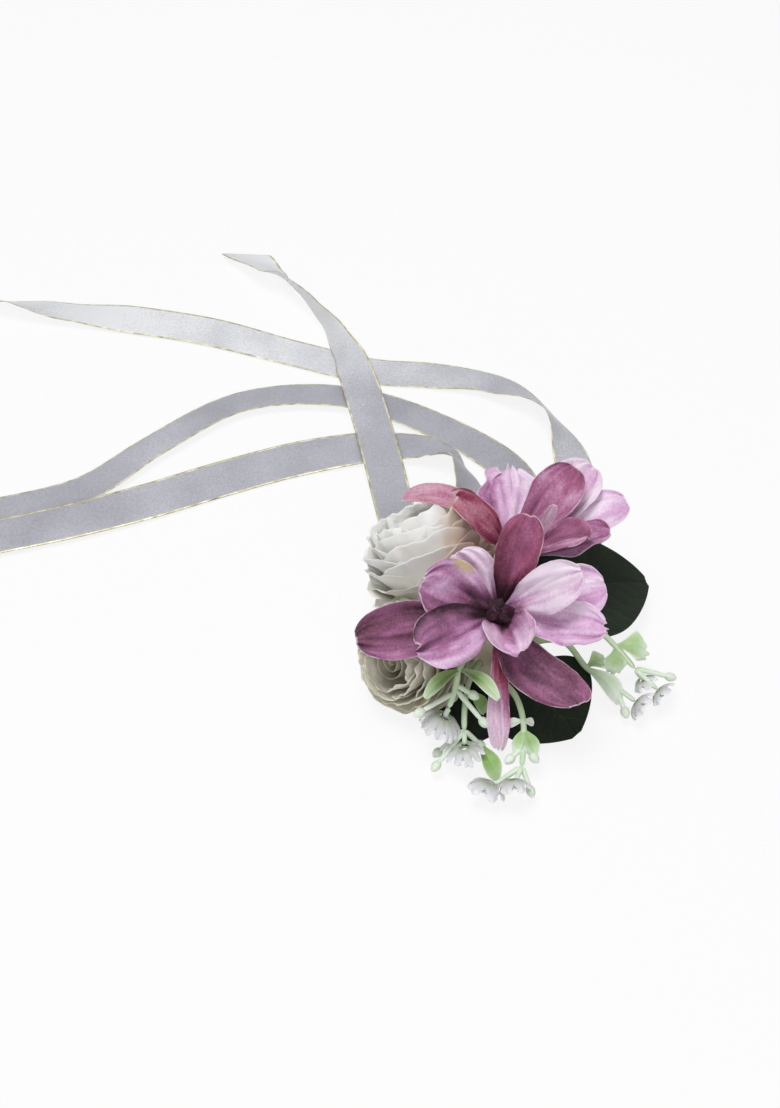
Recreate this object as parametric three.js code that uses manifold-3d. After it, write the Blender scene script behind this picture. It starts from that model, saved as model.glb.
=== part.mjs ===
// Wrist corsage: two cream roses and two mauve blossoms with leaves and filler sprigs,
// glued to a felt pad, and two organza ribbons whose four tails tie it to a wrist.
// Millimetres, +Z up. The origin is the middle of the pad's underside, which lies on the table.
import * as THREE from "three";
import ManifoldModule from "manifold-3d";

const wasm = await ManifoldModule();
wasm.setup();

// Pad, glue and ribbons
const GAP = 0.3;
const PAD_RADIUS = 17;
const FELT = 1.5;
const RIBBON_WIDTH = 12;
const RIBBON_THICK = 0.3;
const GLUE_RADIUS = 12.5;
const GLUE_HEIGHT = 8;
const STEM_RADIUS = 1.4;

// Roses
const BACK_ROSE_RADIUS = 17;
const FRONT_ROSE_RADIUS = 14;
const ROSE_PETAL_THICK = 0.7;
const ROSE_STRETCH = 1.36;

// Blossoms
const PETAL_LENGTH = 27;
const PETAL_WIDTH = 17;
const PETAL_THICK = 0.6;
const TIER_STEP = 2;
const HUB_RADIUS = 3.2;
const HUB_THICK = 0.9;

// Leaves and sprigs
const LEAF_WIDTH = 34;
const LEAF_THICK = 0.7;
const SPRIG_STEM = 0.9;
const BUD_RADIUS = 1.5;
const FLORET_RADIUS = 5;

// Heights of the stack on the table
const LOWER_BAND_Z = FELT + GAP;
const UPPER_BAND_Z = LOWER_BAND_Z + RIBBON_THICK + GAP;
const COVER_Z = UPPER_BAND_Z + RIBBON_THICK + GAP;
const GLUE_Z = COVER_Z + FELT + GAP;

const root = new THREE.Group();
root.name = "wrist_corsage";

const deg = THREE.MathUtils.degToRad;
const at = (x, y, z) => new THREE.Vector3(x, y, z);
const UP = at(0, 0, 1);

// Finishes
const finish = (color, roughness, metalness = 0) =>
  new THREE.MeshStandardMaterial({ color, roughness, metalness });
const FELT_FINISH = () => finish(0xf1ede4, 0.95);
const GLUE_FINISH = () => finish(0xe9e4d6, 0.4);
const RIBBON_FINISH = () => finish(0xc9c3d2, 0.5);
const ROSE_FINISH = () => finish(0xf3e8cf, 0.75);
const MAUVE_FINISH = () => finish(0xb27a96, 0.8);
const STAMEN_FINISH = () => finish(0x5a3348, 0.7);
const LEAF_FINISH = () => finish(0x27352b, 0.8);
const STEM_FINISH = () => finish(0x6f8f4a, 0.6);
const SPRIG_FINISH = () => finish(0xb9cf9f, 0.5);
const FLORET_FINISH = () => finish(0xf4f2f6, 0.55);

// Closed surface from points and triangles, as a solid that can be joined and cut
function solid(points, triangles) {
  const flat = new Float32Array(points.flatMap((p) => [p.x, p.y, p.z]));
  const mesh = new wasm.Mesh({ numProp: 3, vertProperties: flat, triVerts: new Uint32Array(triangles) });
  return new wasm.Manifold(mesh);
}

const join = (solids) => solids.reduce((whole, next) => whole.add(next));

// Adds a solid to the corsage as a named piece
function piece(name, shape, material) {
  const mesh = shape.getMesh();
  const geometry = new THREE.BufferGeometry();
  geometry.setAttribute("position", new THREE.BufferAttribute(Float32Array.from(mesh.vertProperties), 3));
  geometry.setIndex(new THREE.BufferAttribute(Uint32Array.from(mesh.triVerts), 1));
  geometry.computeVertexNormals();
  const node = new THREE.Mesh(geometry, material);
  node.name = name;
  root.add(node);
  return node;
}

// Loft through rings of equal count, closed by a fan at each end. A side of the ring named in crossed
// has its quads split on their other diagonal.
function loft(rings, crossed = []) {
  const count = rings[0].length;
  const points = rings.flat();
  const triangles = [];
  for (let i = 0; i + 1 < rings.length; i += 1) {
    for (let j = 0; j < count; j += 1) {
      const a = i * count + j;
      const b = i * count + (j + 1) % count;
      if (crossed.includes(j)) triangles.push(a, b, a + count, b, b + count, a + count);
      else triangles.push(a, b, b + count, a, b + count, a + count);
    }
  }
  const middle = (ring) => ring.reduce((sum, p) => sum.add(p), at(0, 0, 0)).divideScalar(count);
  const first = points.push(middle(rings[0])) - 1;
  const last = points.push(middle(rings.at(-1))) - 1;
  const end = (rings.length - 1) * count;
  for (let j = 0; j < count; j += 1) {
    const next = (j + 1) % count;
    triangles.push(first, next, j);
    triangles.push(last, end + j, end + next);
  }
  return solid(points, triangles);
}

// Solid of revolution about Z from rows of radius and height, bottom to top
function turned(rows, sides) {
  const ring = ([radius, z]) => Array.from({ length: sides }, (_, k) => {
    const angle = (2 * Math.PI * k) / sides;
    return at(radius * Math.cos(angle), radius * Math.sin(angle), z);
  });
  return loft(rows.map(ring));
}

// Round stem through points, with a radius at each end
function stem(route, thick, thin, sides = 6, steps = 6) {
  const curve = new THREE.CatmullRomCurve3(route);
  const frames = curve.computeFrenetFrames(steps, false);
  const rings = Array.from({ length: steps + 1 }, (_, i) => {
    const centre = curve.getPointAt(i / steps);
    const radius = thick + (thin - thick) * (i / steps);
    return Array.from({ length: sides }, (_, k) => {
      const angle = (2 * Math.PI * k) / sides;
      return centre.clone()
        .addScaledVector(frames.normals[i], radius * Math.cos(angle))
        .addScaledVector(frames.binormals[i], radius * Math.sin(angle));
    });
  });
  return loft(rings);
}

// Thin sheet of even thickness over a surface of u from -1 to 1 and v from 0 to 1
function sheet(surface, thick, columns, rows) {
  const step = 1e-3;
  const points = [];
  const spots = [];
  for (let j = 0; j <= rows; j += 1) {
    for (let i = 0; i <= columns; i += 1) {
      spots.push([(2 * i) / columns - 1, 1 - (1 - j / rows) ** 1.4]);
    }
  }
  for (const side of [0.5, -0.5]) {
    for (const [u, v] of spots) {
      const along = surface(u, v + step).sub(surface(u, v - step));
      const across = surface(u + step, v).sub(surface(u - step, v));
      const normal = across.cross(along).normalize();
      points.push(surface(u, v).addScaledVector(normal, side * thick));
    }
  }
  const width = columns + 1;
  const back = width * (rows + 1);
  const triangles = [];
  for (let j = 0; j < rows; j += 1) {
    for (let i = 0; i < columns; i += 1) {
      const a = j * width + i;
      const c = a + width + 1;
      triangles.push(a, a + 1, c, a, c, a + width);
      triangles.push(back + a, back + c, back + a + 1, back + a, back + a + width, back + c);
    }
  }
  const rim = [];
  for (let i = 0; i < columns; i += 1) rim.push(i);
  for (let j = 0; j < rows; j += 1) rim.push(j * width + columns);
  for (let i = columns; i > 0; i -= 1) rim.push(rows * width + i);
  for (let j = rows; j > 0; j -= 1) rim.push(j * width);
  rim.forEach((a, k) => {
    const b = rim[(k + 1) % rim.length];
    triangles.push(a, back + a, back + b, a, back + b, b);
  });
  return solid(points, triangles);
}

// Places a shape whose own Z is a flower's axis; its X stays as near world X as it can
function stand(shape, centre, axis) {
  const z = axis.clone().normalize();
  const x = at(1, 0, 0).addScaledVector(z, -z.x).normalize();
  const y = z.clone().cross(x);
  const place = new THREE.Matrix4().makeBasis(x, y, z).setPosition(centre);
  return shape.transform(Array.from(place.elements));
}

// Felt pads and the ribbon bands held between them
const felt = (radius, z) => turned([[radius, z], [radius, z + FELT]], 40);
piece("felt_base_pad", felt(PAD_RADIUS, 0), FELT_FINISH());
piece("felt_cover_pad", felt(PAD_RADIUS, COVER_Z), FELT_FINISH());

// Band folded at its middle under the cover, with an arm to each of its two tails
const BAND_REACH = PAD_RADIUS + 1;
function bandArm(heading, pair, z) {
  const middle = deg((pair[0] + pair[1]) / 2);
  const fold = at(-3 * Math.cos(middle), -3 * Math.sin(middle), z);
  const tip = at(BAND_REACH * Math.cos(deg(heading)), BAND_REACH * Math.sin(deg(heading)), z);
  return { fold, tip, along: tip.clone().sub(fold).normalize() };
}
function ribbonBand(z, pair) {
  const arms = pair.map((heading) => {
    const { fold, tip, along } = bandArm(heading, pair, z);
    const side = UP.clone().cross(along).multiplyScalar(RIBBON_WIDTH / 2);
    const corners = [[fold, -1], [tip, -1], [tip, 1], [fold, 1]].map(
      ([end, sign]) => end.clone().addScaledVector(side, sign),
    );
    return loft([corners, corners.map((p) => p.clone().addScaledVector(UP, RIBBON_THICK))]);
  });
  return join(arms);
}
const OUTER_EXITS = [128, 35];
const INNER_EXITS = [100, 60];
piece("ribbon_outer_band", ribbonBand(LOWER_BAND_Z, OUTER_EXITS), RIBBON_FINISH());
piece("ribbon_inner_band", ribbonBand(UPPER_BAND_Z, INNER_EXITS), RIBBON_FINISH());

// Ribbon tail: rows of x, y, z, the heading of its width and that width's tilt out of the level.
// It goes on from its band's arm, and its free end is cut at a slant.
const END_SLANT = 4.5;
function tailStart(heading, pair, z) {
  const { tip, along } = bandArm(heading, pair, z + RIBBON_THICK / 2);
  const across = THREE.MathUtils.radToDeg(Math.atan2(along.y, along.x)) - 90;
  return [GAP, 5].map((run) => {
    const spot = tip.clone().addScaledVector(along, run);
    return [spot.x, spot.y, spot.z, across, 0];
  });
}
function ribbonTail(rows, steps = 4) {
  const curve = new THREE.CatmullRomCurve3(rows.map(([x, y, z]) => at(x, y, z)), false, "centripetal");
  const total = (rows.length - 1) * steps;
  const rings = [];
  const line = [];
  for (let k = 0; k <= total; k += 1) {
    const t = k / total;
    const index = Math.min(Math.floor(k / steps), rows.length - 2);
    const share = k / steps - index;
    const ease = share * share * (3 - 2 * share);
    const heading = deg(rows[index][3] + (rows[index + 1][3] - rows[index][3]) * ease);
    const tilt = deg(rows[index][4] + (rows[index + 1][4] - rows[index][4]) * ease);
    const centre = curve.getPoint(t);
    const along = curve.getTangent(t);
    const side = at(Math.cos(tilt) * Math.cos(heading), Math.cos(tilt) * Math.sin(heading), Math.sin(tilt));
    side.addScaledVector(along, -side.dot(along)).normalize();
    const face = side.clone().cross(along);
    const slant = index === rows.length - 2 ? END_SLANT * share : 0;
    const corner = (a, b) => centre.clone()
      .addScaledVector(side, a * RIBBON_WIDTH / 2)
      .addScaledVector(along, a * slant)
      .addScaledVector(face, b * RIBBON_THICK / 2);
    rings.push([corner(-1, -1), corner(-1, 1), corner(1, 1), corner(1, -1)]);
    line.push(centre);
  }
  const underside = 3;
  return { shape: loft(rings, [underside]), line, length: curve.getLength() };
}
const TAILS = {
  ribbon_tail_outer_left: [
    ...tailStart(OUTER_EXITS[0], OUTER_EXITS, LOWER_BAND_Z),
    [-18.5, 32, 2.2, 26, 0],
    [-22.6, 48, 4, 14, 0],
    [-27.6, 72, 5.8, 10, 4],
    [-32.5, 96, 5.6, 12, 0],
    [-37.5, 114, 5, 18, 0],
    [-47, 131, 5.4, 28, 18],
    [-56, 143.5, 7.2, 40, 62],
    [-63, 152, 7.6, 42, 100],
    [-69.5, 160, 5.6, 42, 142],
    [-77, 168.5, 1.6, 40, 176],
  ],
  ribbon_tail_outer_right: [
    ...tailStart(OUTER_EXITS[1], OUTER_EXITS, LOWER_BAND_Z),
    [27, 27, 1.2, -38, 0],
    [33.5, 46, 1, -14, 0],
    [32.2, 68, 2, 8, -8],
    [26, 87, 5.8, 25, -55],
    [9, 103.5, 2.4, 65, -14],
    [-12, 109, 0.9, 80, 0],
    [-30, 111, 0.7, 82, 0],
    [-55, 119, 0.8, 74, 0],
    [-85, 129, 1.6, 76, 8],
    [-110, 134.5, 1.8, 80, 8],
    [-135, 138.5, 2.2, 82, -14],
    [-158, 140.5, 5.2, 86, -46],
    [-174, 140, 3.2, 92, -22],
    [-190, 137, 1, 102, 0],
  ],
  ribbon_tail_inner_right: [
    ...tailStart(INNER_EXITS[1], INNER_EXITS, UPPER_BAND_Z),
    [14.5, 36, 1.4, -16, 0],
    [17, 52, 1, 0, 0],
    [12.5, 68, 0.8, 32, 0],
    [-12, 87.5, 1.4, 60, -6],
    [-40, 98.5, 2, 78, -11],
    [-72, 96, 2, 100, -13],
    [-98, 77, 2, 132, -12],
    [-117, 60, 1.4, 128, -6],
    [-142, 51, 0.8, 108, 0],
    [-160, 47.7, 0.8, 98, 0],
    [-170, 47, 0.8, 94, 0],
  ],
  ribbon_tail_inner_left: [
    ...tailStart(INNER_EXITS[0], INNER_EXITS, UPPER_BAND_Z),
    [-4.5, 38, 1, 4, 0],
    [-1.5, 55, 1, -10, 0],
    [-3, 66, 2.8, -14, 6],
    [-6.5, 72.6, 6.6, -50, 42],
    [-13, 76.6, 5, -88, 6],
    [-21, 77, 3, -88, -2],
    [-31, 76, 2.4, -86, -6],
    [-53, 71, 2.4, -77, -16],
    [-76, 62.5, 2.6, -70, -18],
    [-97, 53.5, 3, -68, -16],
    [-118, 46, 3.1, -72, -12],
    [-140, 40, 2.8, -76, -8],
    [-158, 36, 2.4, -78, 0],
    [-167, 34.2, 2.2, -80, 0],
  ],
};
// Least gap of a tail to a part of itself more than two widths away along it
function leastGap(line) {
  let least = Infinity;
  const reach = line.map((p, k) => (k ? p.distanceTo(line[k - 1]) : 0));
  for (let a = 0; a < line.length; a += 1) {
    let run = 0;
    for (let b = a + 1; b < line.length; b += 1) {
      run += reach[b];
      if (run > 2 * RIBBON_WIDTH) least = Math.min(least, line[a].distanceTo(line[b]) - RIBBON_THICK);
    }
  }
  return least;
}
for (const [name, rows] of Object.entries(TAILS)) {
  const tail = ribbonTail(rows);
  piece(name, tail.shape, RIBBON_FINISH());
  console.log(name, "length", tail.length.toFixed(1), "least gap to itself", leastGap(tail.line).toFixed(1));
}

// Rose petal on a cup of the given radius: one edge tucks in, the other lies over its neighbour
function rosePetal(radius, base, { turn, reach, spread, flare }) {
  const lean = 0.055 * radius;
  return (u, v) => {
    const top = reach * (1 - 0.28 * Math.abs(u) ** 2.5);
    const climb = deg(18 + (top - 18) * v);
    const across = deg(turn) + deg(spread / 2) * u * (0.62 + 0.38 * Math.sin((Math.PI / 2) * v));
    const out = radius * Math.sin(climb) + lean * u + flare * v ** 4;
    const z = base + ROSE_STRETCH * radius * (1 - Math.cos(climb));
    return at(out * Math.cos(across), out * Math.sin(across), z);
  };
}
function roseRing(radius, base, count, start, reach, spread, flare) {
  const hub = turned([[radius * 0.36, base - 0.1], [radius * 0.42, base + 1.3]], 12);
  const petals = Array.from({ length: count }, (_, k) => {
    const turn = start + (360 * k) / count;
    return sheet(rosePetal(radius, base, { turn, reach, spread, flare }), ROSE_PETAL_THICK, 4, 4);
  });
  return join([hub, ...petals]);
}
// Bud of a rose, wrapped in a spiral that shows as a ridge
function roseBud(radius, base) {
  const rows = [[0.42, 0], [0.8, 0.3], [1, 0.95], [0.92, 1.65], [0.66, 2.15], [0.3, 2.45]];
  const sides = 20;
  const rings = rows.map(([wide, high], row) => Array.from({ length: sides }, (_, k) => {
    const share = ((k / sides) * 2 + row * 0.3) % 1;
    const r = radius * wide * (0.9 + 0.1 * share);
    const angle = (2 * Math.PI * k) / sides;
    return at(r * Math.cos(angle), r * Math.sin(angle), base + radius * high);
  }));
  return loft(rings);
}
function rose(name, { radius, centre, axis, foot, turn }) {
  const direction = axis.clone().normalize();
  const low = centre.clone().addScaledVector(direction, -radius);
  const ringStep = 0.172 * radius;
  const rise = 0.12 * radius;
  const put = (part, shape, material) => piece(`${name}_${part}`, stand(shape, low, direction), material);
  put("outer_petals", roseRing(radius - 1, 0, 5, turn, 72, 92, 2.8), ROSE_FINISH());
  put("middle_petals", roseRing(radius - 1 - ringStep, rise, 5, turn + 36, 97, 92, 2), ROSE_FINISH());
  const innerRadius = radius - 1 - 2 * ringStep;
  put("inner_petals", roseRing(innerRadius, 2 * rise, 4, turn + 10, 124, 112, 0.6), ROSE_FINISH());
  put("bud", roseBud(radius - 1.6 - 3 * ringStep, 3 * rise), ROSE_FINISH());
  const neck = low.clone().addScaledVector(direction, -2.5);
  const stalk = (grow) => join([
    stand(turned([[1.6 + grow, -3 - grow], [radius * 0.34 + grow, -0.5 + grow]], 10), low, direction),
    stem([neck, neck.clone().lerp(foot, 0.5), foot], STEM_RADIUS + grow, STEM_RADIUS + grow, 6, 4),
  ]);
  const ball = wasm.Manifold.sphere(radius + 2 * GAP, 16).scale([1, 1, ROSE_STRETCH])
    .translate([0, 0, ROSE_STRETCH * radius - 1]);
  return { shape: stalk(0), room: join([stalk(GAP), stand(ball, low, direction)]), material: STEM_FINISH() };
}
const backRose = rose("back_rose", {
  radius: BACK_ROSE_RADIUS,
  centre: at(-15, 18, 25),
  axis: at(-0.4, 0.6, 0.7),
  foot: at(-4, 1, 7),
  turn: 20,
});
const frontRose = rose("front_rose", {
  radius: FRONT_ROSE_RADIUS,
  centre: at(-20.3, -12.4, 16.9),
  axis: at(-0.62, -0.6, 0.5),
  foot: at(-6, -5, 7),
  turn: 50,
});

// Blossom petal in its flower's frame, as shares of the petal length and width and angles in degrees:
// open is its angle from the axis at the root and curl what that grows by to the tip, cup lifts its
// edges, roll turns it about its own line and sway carries its tip sideways
const OUTLINE_WIDEST = 0.62;
function petalOutline(v, claw) {
  const share = Math.max(0, v) / OUTLINE_WIDEST;
  if (share < 1) return claw + (1 - claw) * Math.sin((Math.PI / 2) * share) ** 1.2;
  const past = (v - OUTLINE_WIDEST) / (1.012 - OUTLINE_WIDEST);
  return Math.sqrt(Math.max(0.02, 1 - past * past));
}
function blossomPetal([turn, open, curl, long, wide, cup, roll, sway]) {
  const out = at(Math.cos(deg(turn)), Math.sin(deg(turn)), 0);
  const side = at(-out.y, out.x, 0);
  const length = PETAL_LENGTH * long;
  return (u, v) => {
    const angle = deg(open + curl * v);
    const mean = deg(open + (curl * v) / 2);
    const half = deg((curl * v) / 2);
    const chord = length * v * (Math.abs(half) < 1e-6 ? 1 : Math.sin(half) / half);
    const inward = out.clone().multiplyScalar(-Math.cos(angle)).addScaledVector(UP, Math.sin(angle));
    const width = (PETAL_WIDTH / 2) * wide * petalOutline(v, 0.24);
    const lay = deg(roll);
    const across = side.clone().multiplyScalar(Math.cos(lay)).addScaledVector(inward, Math.sin(lay));
    const lift = inward.clone().multiplyScalar(Math.cos(lay)).addScaledVector(side, -Math.sin(lay));
    return out.clone().multiplyScalar(HUB_RADIUS * 0.7 + chord * Math.sin(mean))
      .addScaledVector(UP, chord * Math.cos(mean))
      .addScaledVector(side, sway * length * v * v)
      .addScaledVector(across, u * width)
      .addScaledVector(lift, cup * width * u * u);
  };
}
function blossomTier(height, petals) {
  const bore = STEM_RADIUS + GAP;
  const hub = turned([[HUB_RADIUS, -HUB_THICK / 2], [HUB_RADIUS, HUB_THICK / 2]], 12);
  const hole = turned([[bore, -9], [bore, 9]], 8);
  const sheets = petals.map((row) => sheet(blossomPetal(row), PETAL_THICK, 4, 6));
  return join([hub, ...sheets]).subtract(hole).translate([0, 0, height]);
}
function blossom(name, { centre, axis, foot, lower, middle, upper }) {
  const direction = axis.clone().normalize();
  const put = (part, shape, material) => piece(`${name}_${part}`, stand(shape, centre, direction), material);
  put("lower_petals", blossomTier(-TIER_STEP, lower), MAUVE_FINISH());
  put("middle_petals", blossomTier(0, middle), MAUVE_FINISH());
  put("upper_petals", blossomTier(TIER_STEP, upper), MAUVE_FINISH());
  const top = TIER_STEP + HUB_THICK / 2 + GAP;
  const knob = turned([[1.1, top], [1.5, top + 0.8], [1.2, top + 1.8], [0.5, top + 2.4]], 10);
  put("stamen", knob, STAMEN_FINISH());
  const under = -TIER_STEP - HUB_THICK / 2 - GAP;
  const calyx = turned([[1.8, under - 4], [HUB_RADIUS, under - 0.8], [HUB_RADIUS, under]], 10);
  const pin = turned([[STEM_RADIUS, under - 6], [STEM_RADIUS, top - GAP]], 8);
  const neck = centre.clone().addScaledVector(direction, under - 5);
  const stalk = (grow) => stem(
    [neck, neck.clone().lerp(foot, 0.5), foot], STEM_RADIUS + grow, STEM_RADIUS + grow, 6, 4,
  );
  const head = stand(join([calyx, pin]), centre, direction);
  return { shape: join([head, stalk(0)]), room: stalk(GAP), material: STEM_FINISH() };
}
const frontBlossom = blossom("front_blossom", {
  centre: at(3.3, -8.9, 32.6),
  axis: at(-0.03, -0.52, 0.85),
  foot: at(5, -1, 7),
  lower: [
    [190, 70, 14, 1.32, 0.95, 0.15, 0, 0],
    [287, 62, 14, 1.02, 0.85, 0.2, 0, 0.42],
    [270, 80, 42, 1.3, 0.4, 0.5, 0, 0],
    [13, 62, 8, 1, 0.85, 0.15, 0, 0],
    [126, 48, 12, 0.74, 0.7, 0.2, 0, 0],
  ],
  middle: [
    [349, 50, 12, 1.04, 0.75, 0.25, 0, 0],
    [73, 46, 12, 1.02, 0.64, 0.25, 0, 0],
    [163, 42, 16, 0.9, 0.95, 0.25, 0, 0],
  ],
  upper: [
    [23, 36, 16, 0.98, 0.7, 0.2, 0, 0],
    [292, 18, 34, 0.62, 0.75, 0.3, 0, 0],
    [207, 40, 20, 1.02, 0.92, 0.2, 0, 0],
  ],
});
const rearBlossom = blossom("rear_blossom", {
  centre: at(8.5, 13, 29.5),
  axis: at(0.2, 0.05, 0.98),
  foot: at(4, 6, 7),
  lower: [
    [18, 50, 10, 1.19, 0.8, 0.15, 0, 0],
    [92, 72, 10, 0.96, 1.05, 0.2, 0, 0],
  ],
  middle: [
    [44, 46, 10, 1.1, 0.85, 0.2, 0, 0],
    [148, 40, 100, 1.31, 0.42, 0.28, -9, 0.11],
    [354, 46, 10, 0.92, 0.72, 0.2, 0, 0],
  ],
  upper: [
    [42, 34, 10, 0.93, 0.8, 0.2, 0, 0],
    [326, 32, 10, 0.86, 0.72, 0.2, 0, 0],
    [184, 40, 18, 0.84, 0.72, 0.2, -8, 0],
  ],
});

// Leaf: a broad blade folded a little along its rib, on a stalk that goes into the glue
function leaf({ foot, spine: [base, crown, tip], wide, fold, roll }) {
  const spine = new THREE.QuadraticBezierCurve3(base, crown, tip);
  const surface = (u, v) => {
    const t = 0.02 + 0.97 * v;
    const along = spine.getTangent(t);
    const level = along.clone().cross(UP).normalize();
    const over = level.clone().cross(along);
    const side = level.multiplyScalar(Math.cos(deg(roll))).addScaledVector(over, Math.sin(deg(roll)));
    const rise = side.clone().cross(along);
    const width = (LEAF_WIDTH / 2) * wide * Math.max(0.1, Math.sin(Math.PI * t ** 0.9) ** 0.72);
    return spine.getPoint(t)
      .addScaledVector(side, u * width)
      .addScaledVector(rise, fold * width * Math.abs(u) ** 1.3);
  };
  const blade = sheet(surface, LEAF_THICK, 4, 6);
  const inner = spine.getPoint(0.12);
  const stalk = (grow) => stem([foot, foot.clone().lerp(base, 0.6), inner], 1 + grow, 0.7 + grow, 6, 4);
  return { shape: join([blade, stalk(0)]), room: stalk(GAP), material: LEAF_FINISH() };
}
const LEAVES = {
  leaf_right: {
    foot: at(9, 4, 7),
    spine: [at(14, 7, 9), at(30, 16, 14), at(48.5, 20, 7)],
    wide: 1.05,
    fold: 0.1,
    roll: 0,
  },
  leaf_front_right: {
    foot: at(6.5, -7.5, 6.6),
    spine: [at(9, -11.5, 7), at(17, -19, 8.2), at(25, -27.5, 3)],
    wide: 0.94,
    fold: 0.08,
    roll: 0,
  },
  leaf_front_left: {
    foot: at(-1, -8.5, 6.5),
    spine: [at(-1.6, -13.6, 6.2), at(-3, -21, 6), at(-5.5, -30, 1.6)],
    wide: 0.6,
    fold: 0.06,
    roll: 0,
  },
  leaf_rear: {
    foot: at(6, 9, 7),
    spine: [at(8, 16, 11), at(13, 30, 20), at(18, 46, 13)],
    wide: 0.8,
    fold: 0.1,
    roll: 0,
  },
};

// Sprig: a stem with small leaves, and twigs that end in buds, moulded in one
function bud(point, toward) {
  const along = toward.clone().normalize();
  const rows = [[0.35, -1.2], [0.95, -0.4], [0.85, 0.6], [0.3, 1.3]].map(
    ([wide, high]) => [BUD_RADIUS * wide, BUD_RADIUS * high],
  );
  return stand(turned(rows, 5), point, along);
}
function sprigLeaf([base, tip, wide]) {
  const run = tip.clone().sub(base);
  const side = run.clone().cross(UP).normalize();
  const arch = side.clone().cross(run).normalize();
  const surface = (u, v) => {
    const width = wide * Math.max(0.12, Math.sin(Math.PI * (0.04 + 0.9 * v)) ** 0.8);
    return base.clone().addScaledVector(run, v)
      .addScaledVector(side, u * width)
      .addScaledVector(arch, 0.12 * run.length() * Math.sin(Math.PI * v) + 0.3 * width * u * u);
  };
  return sheet(surface, 0.5, 2, 3);
}
// Floret: a five-lobed cup pressed on the end of a sprig's peg
function floret(scale) {
  const rows = [
    [0.22, -0.5, 0], [0.6, -0.38, 0], [0.92, -0.02, 0.06],
    [1, 0.45, 0.18], [0.88, 0.5, 0.18], [0.5, 0, 0.05],
  ];
  const sides = 15;
  return loft(rows.map(([wide, high, lobe]) => Array.from({ length: sides }, (_, k) => {
    const angle = (2 * Math.PI * k) / sides;
    const r = FLORET_RADIUS * scale * (wide - lobe * (0.5 - 0.5 * Math.cos(5 * angle)));
    return at(r * Math.cos(angle), r * Math.sin(angle), FLORET_RADIUS * scale * high);
  })));
}
function sprig({ route, buds, leaves, florets }) {
  const parts = [stem(route, SPRIG_STEM, SPRIG_STEM * 0.8, 5, 7)];
  const twig = (from, to) => {
    const route = [from, from.clone().lerp(to, 0.5), to];
    return stem(route, SPRIG_STEM * 0.65, SPRIG_STEM * 0.55, 5, 2);
  };
  for (const [from, to] of buds) parts.push(twig(from, to), bud(to, to.clone().sub(from)));
  for (const [name, from, centre, scale] of florets) {
    const toward = centre.clone().sub(from).normalize();
    parts.push(twig(from, centre.clone().addScaledVector(toward, -0.5 * FLORET_RADIUS * scale - GAP)));
    piece(name, stand(floret(scale), centre, toward), FLORET_FINISH());
  }
  parts.push(...leaves.map(sprigLeaf));
  const room = stem(route, SPRIG_STEM + GAP, SPRIG_STEM * 0.8 + GAP, 5, 7);
  return { shape: join(parts), room, material: SPRIG_FINISH() };
}
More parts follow.
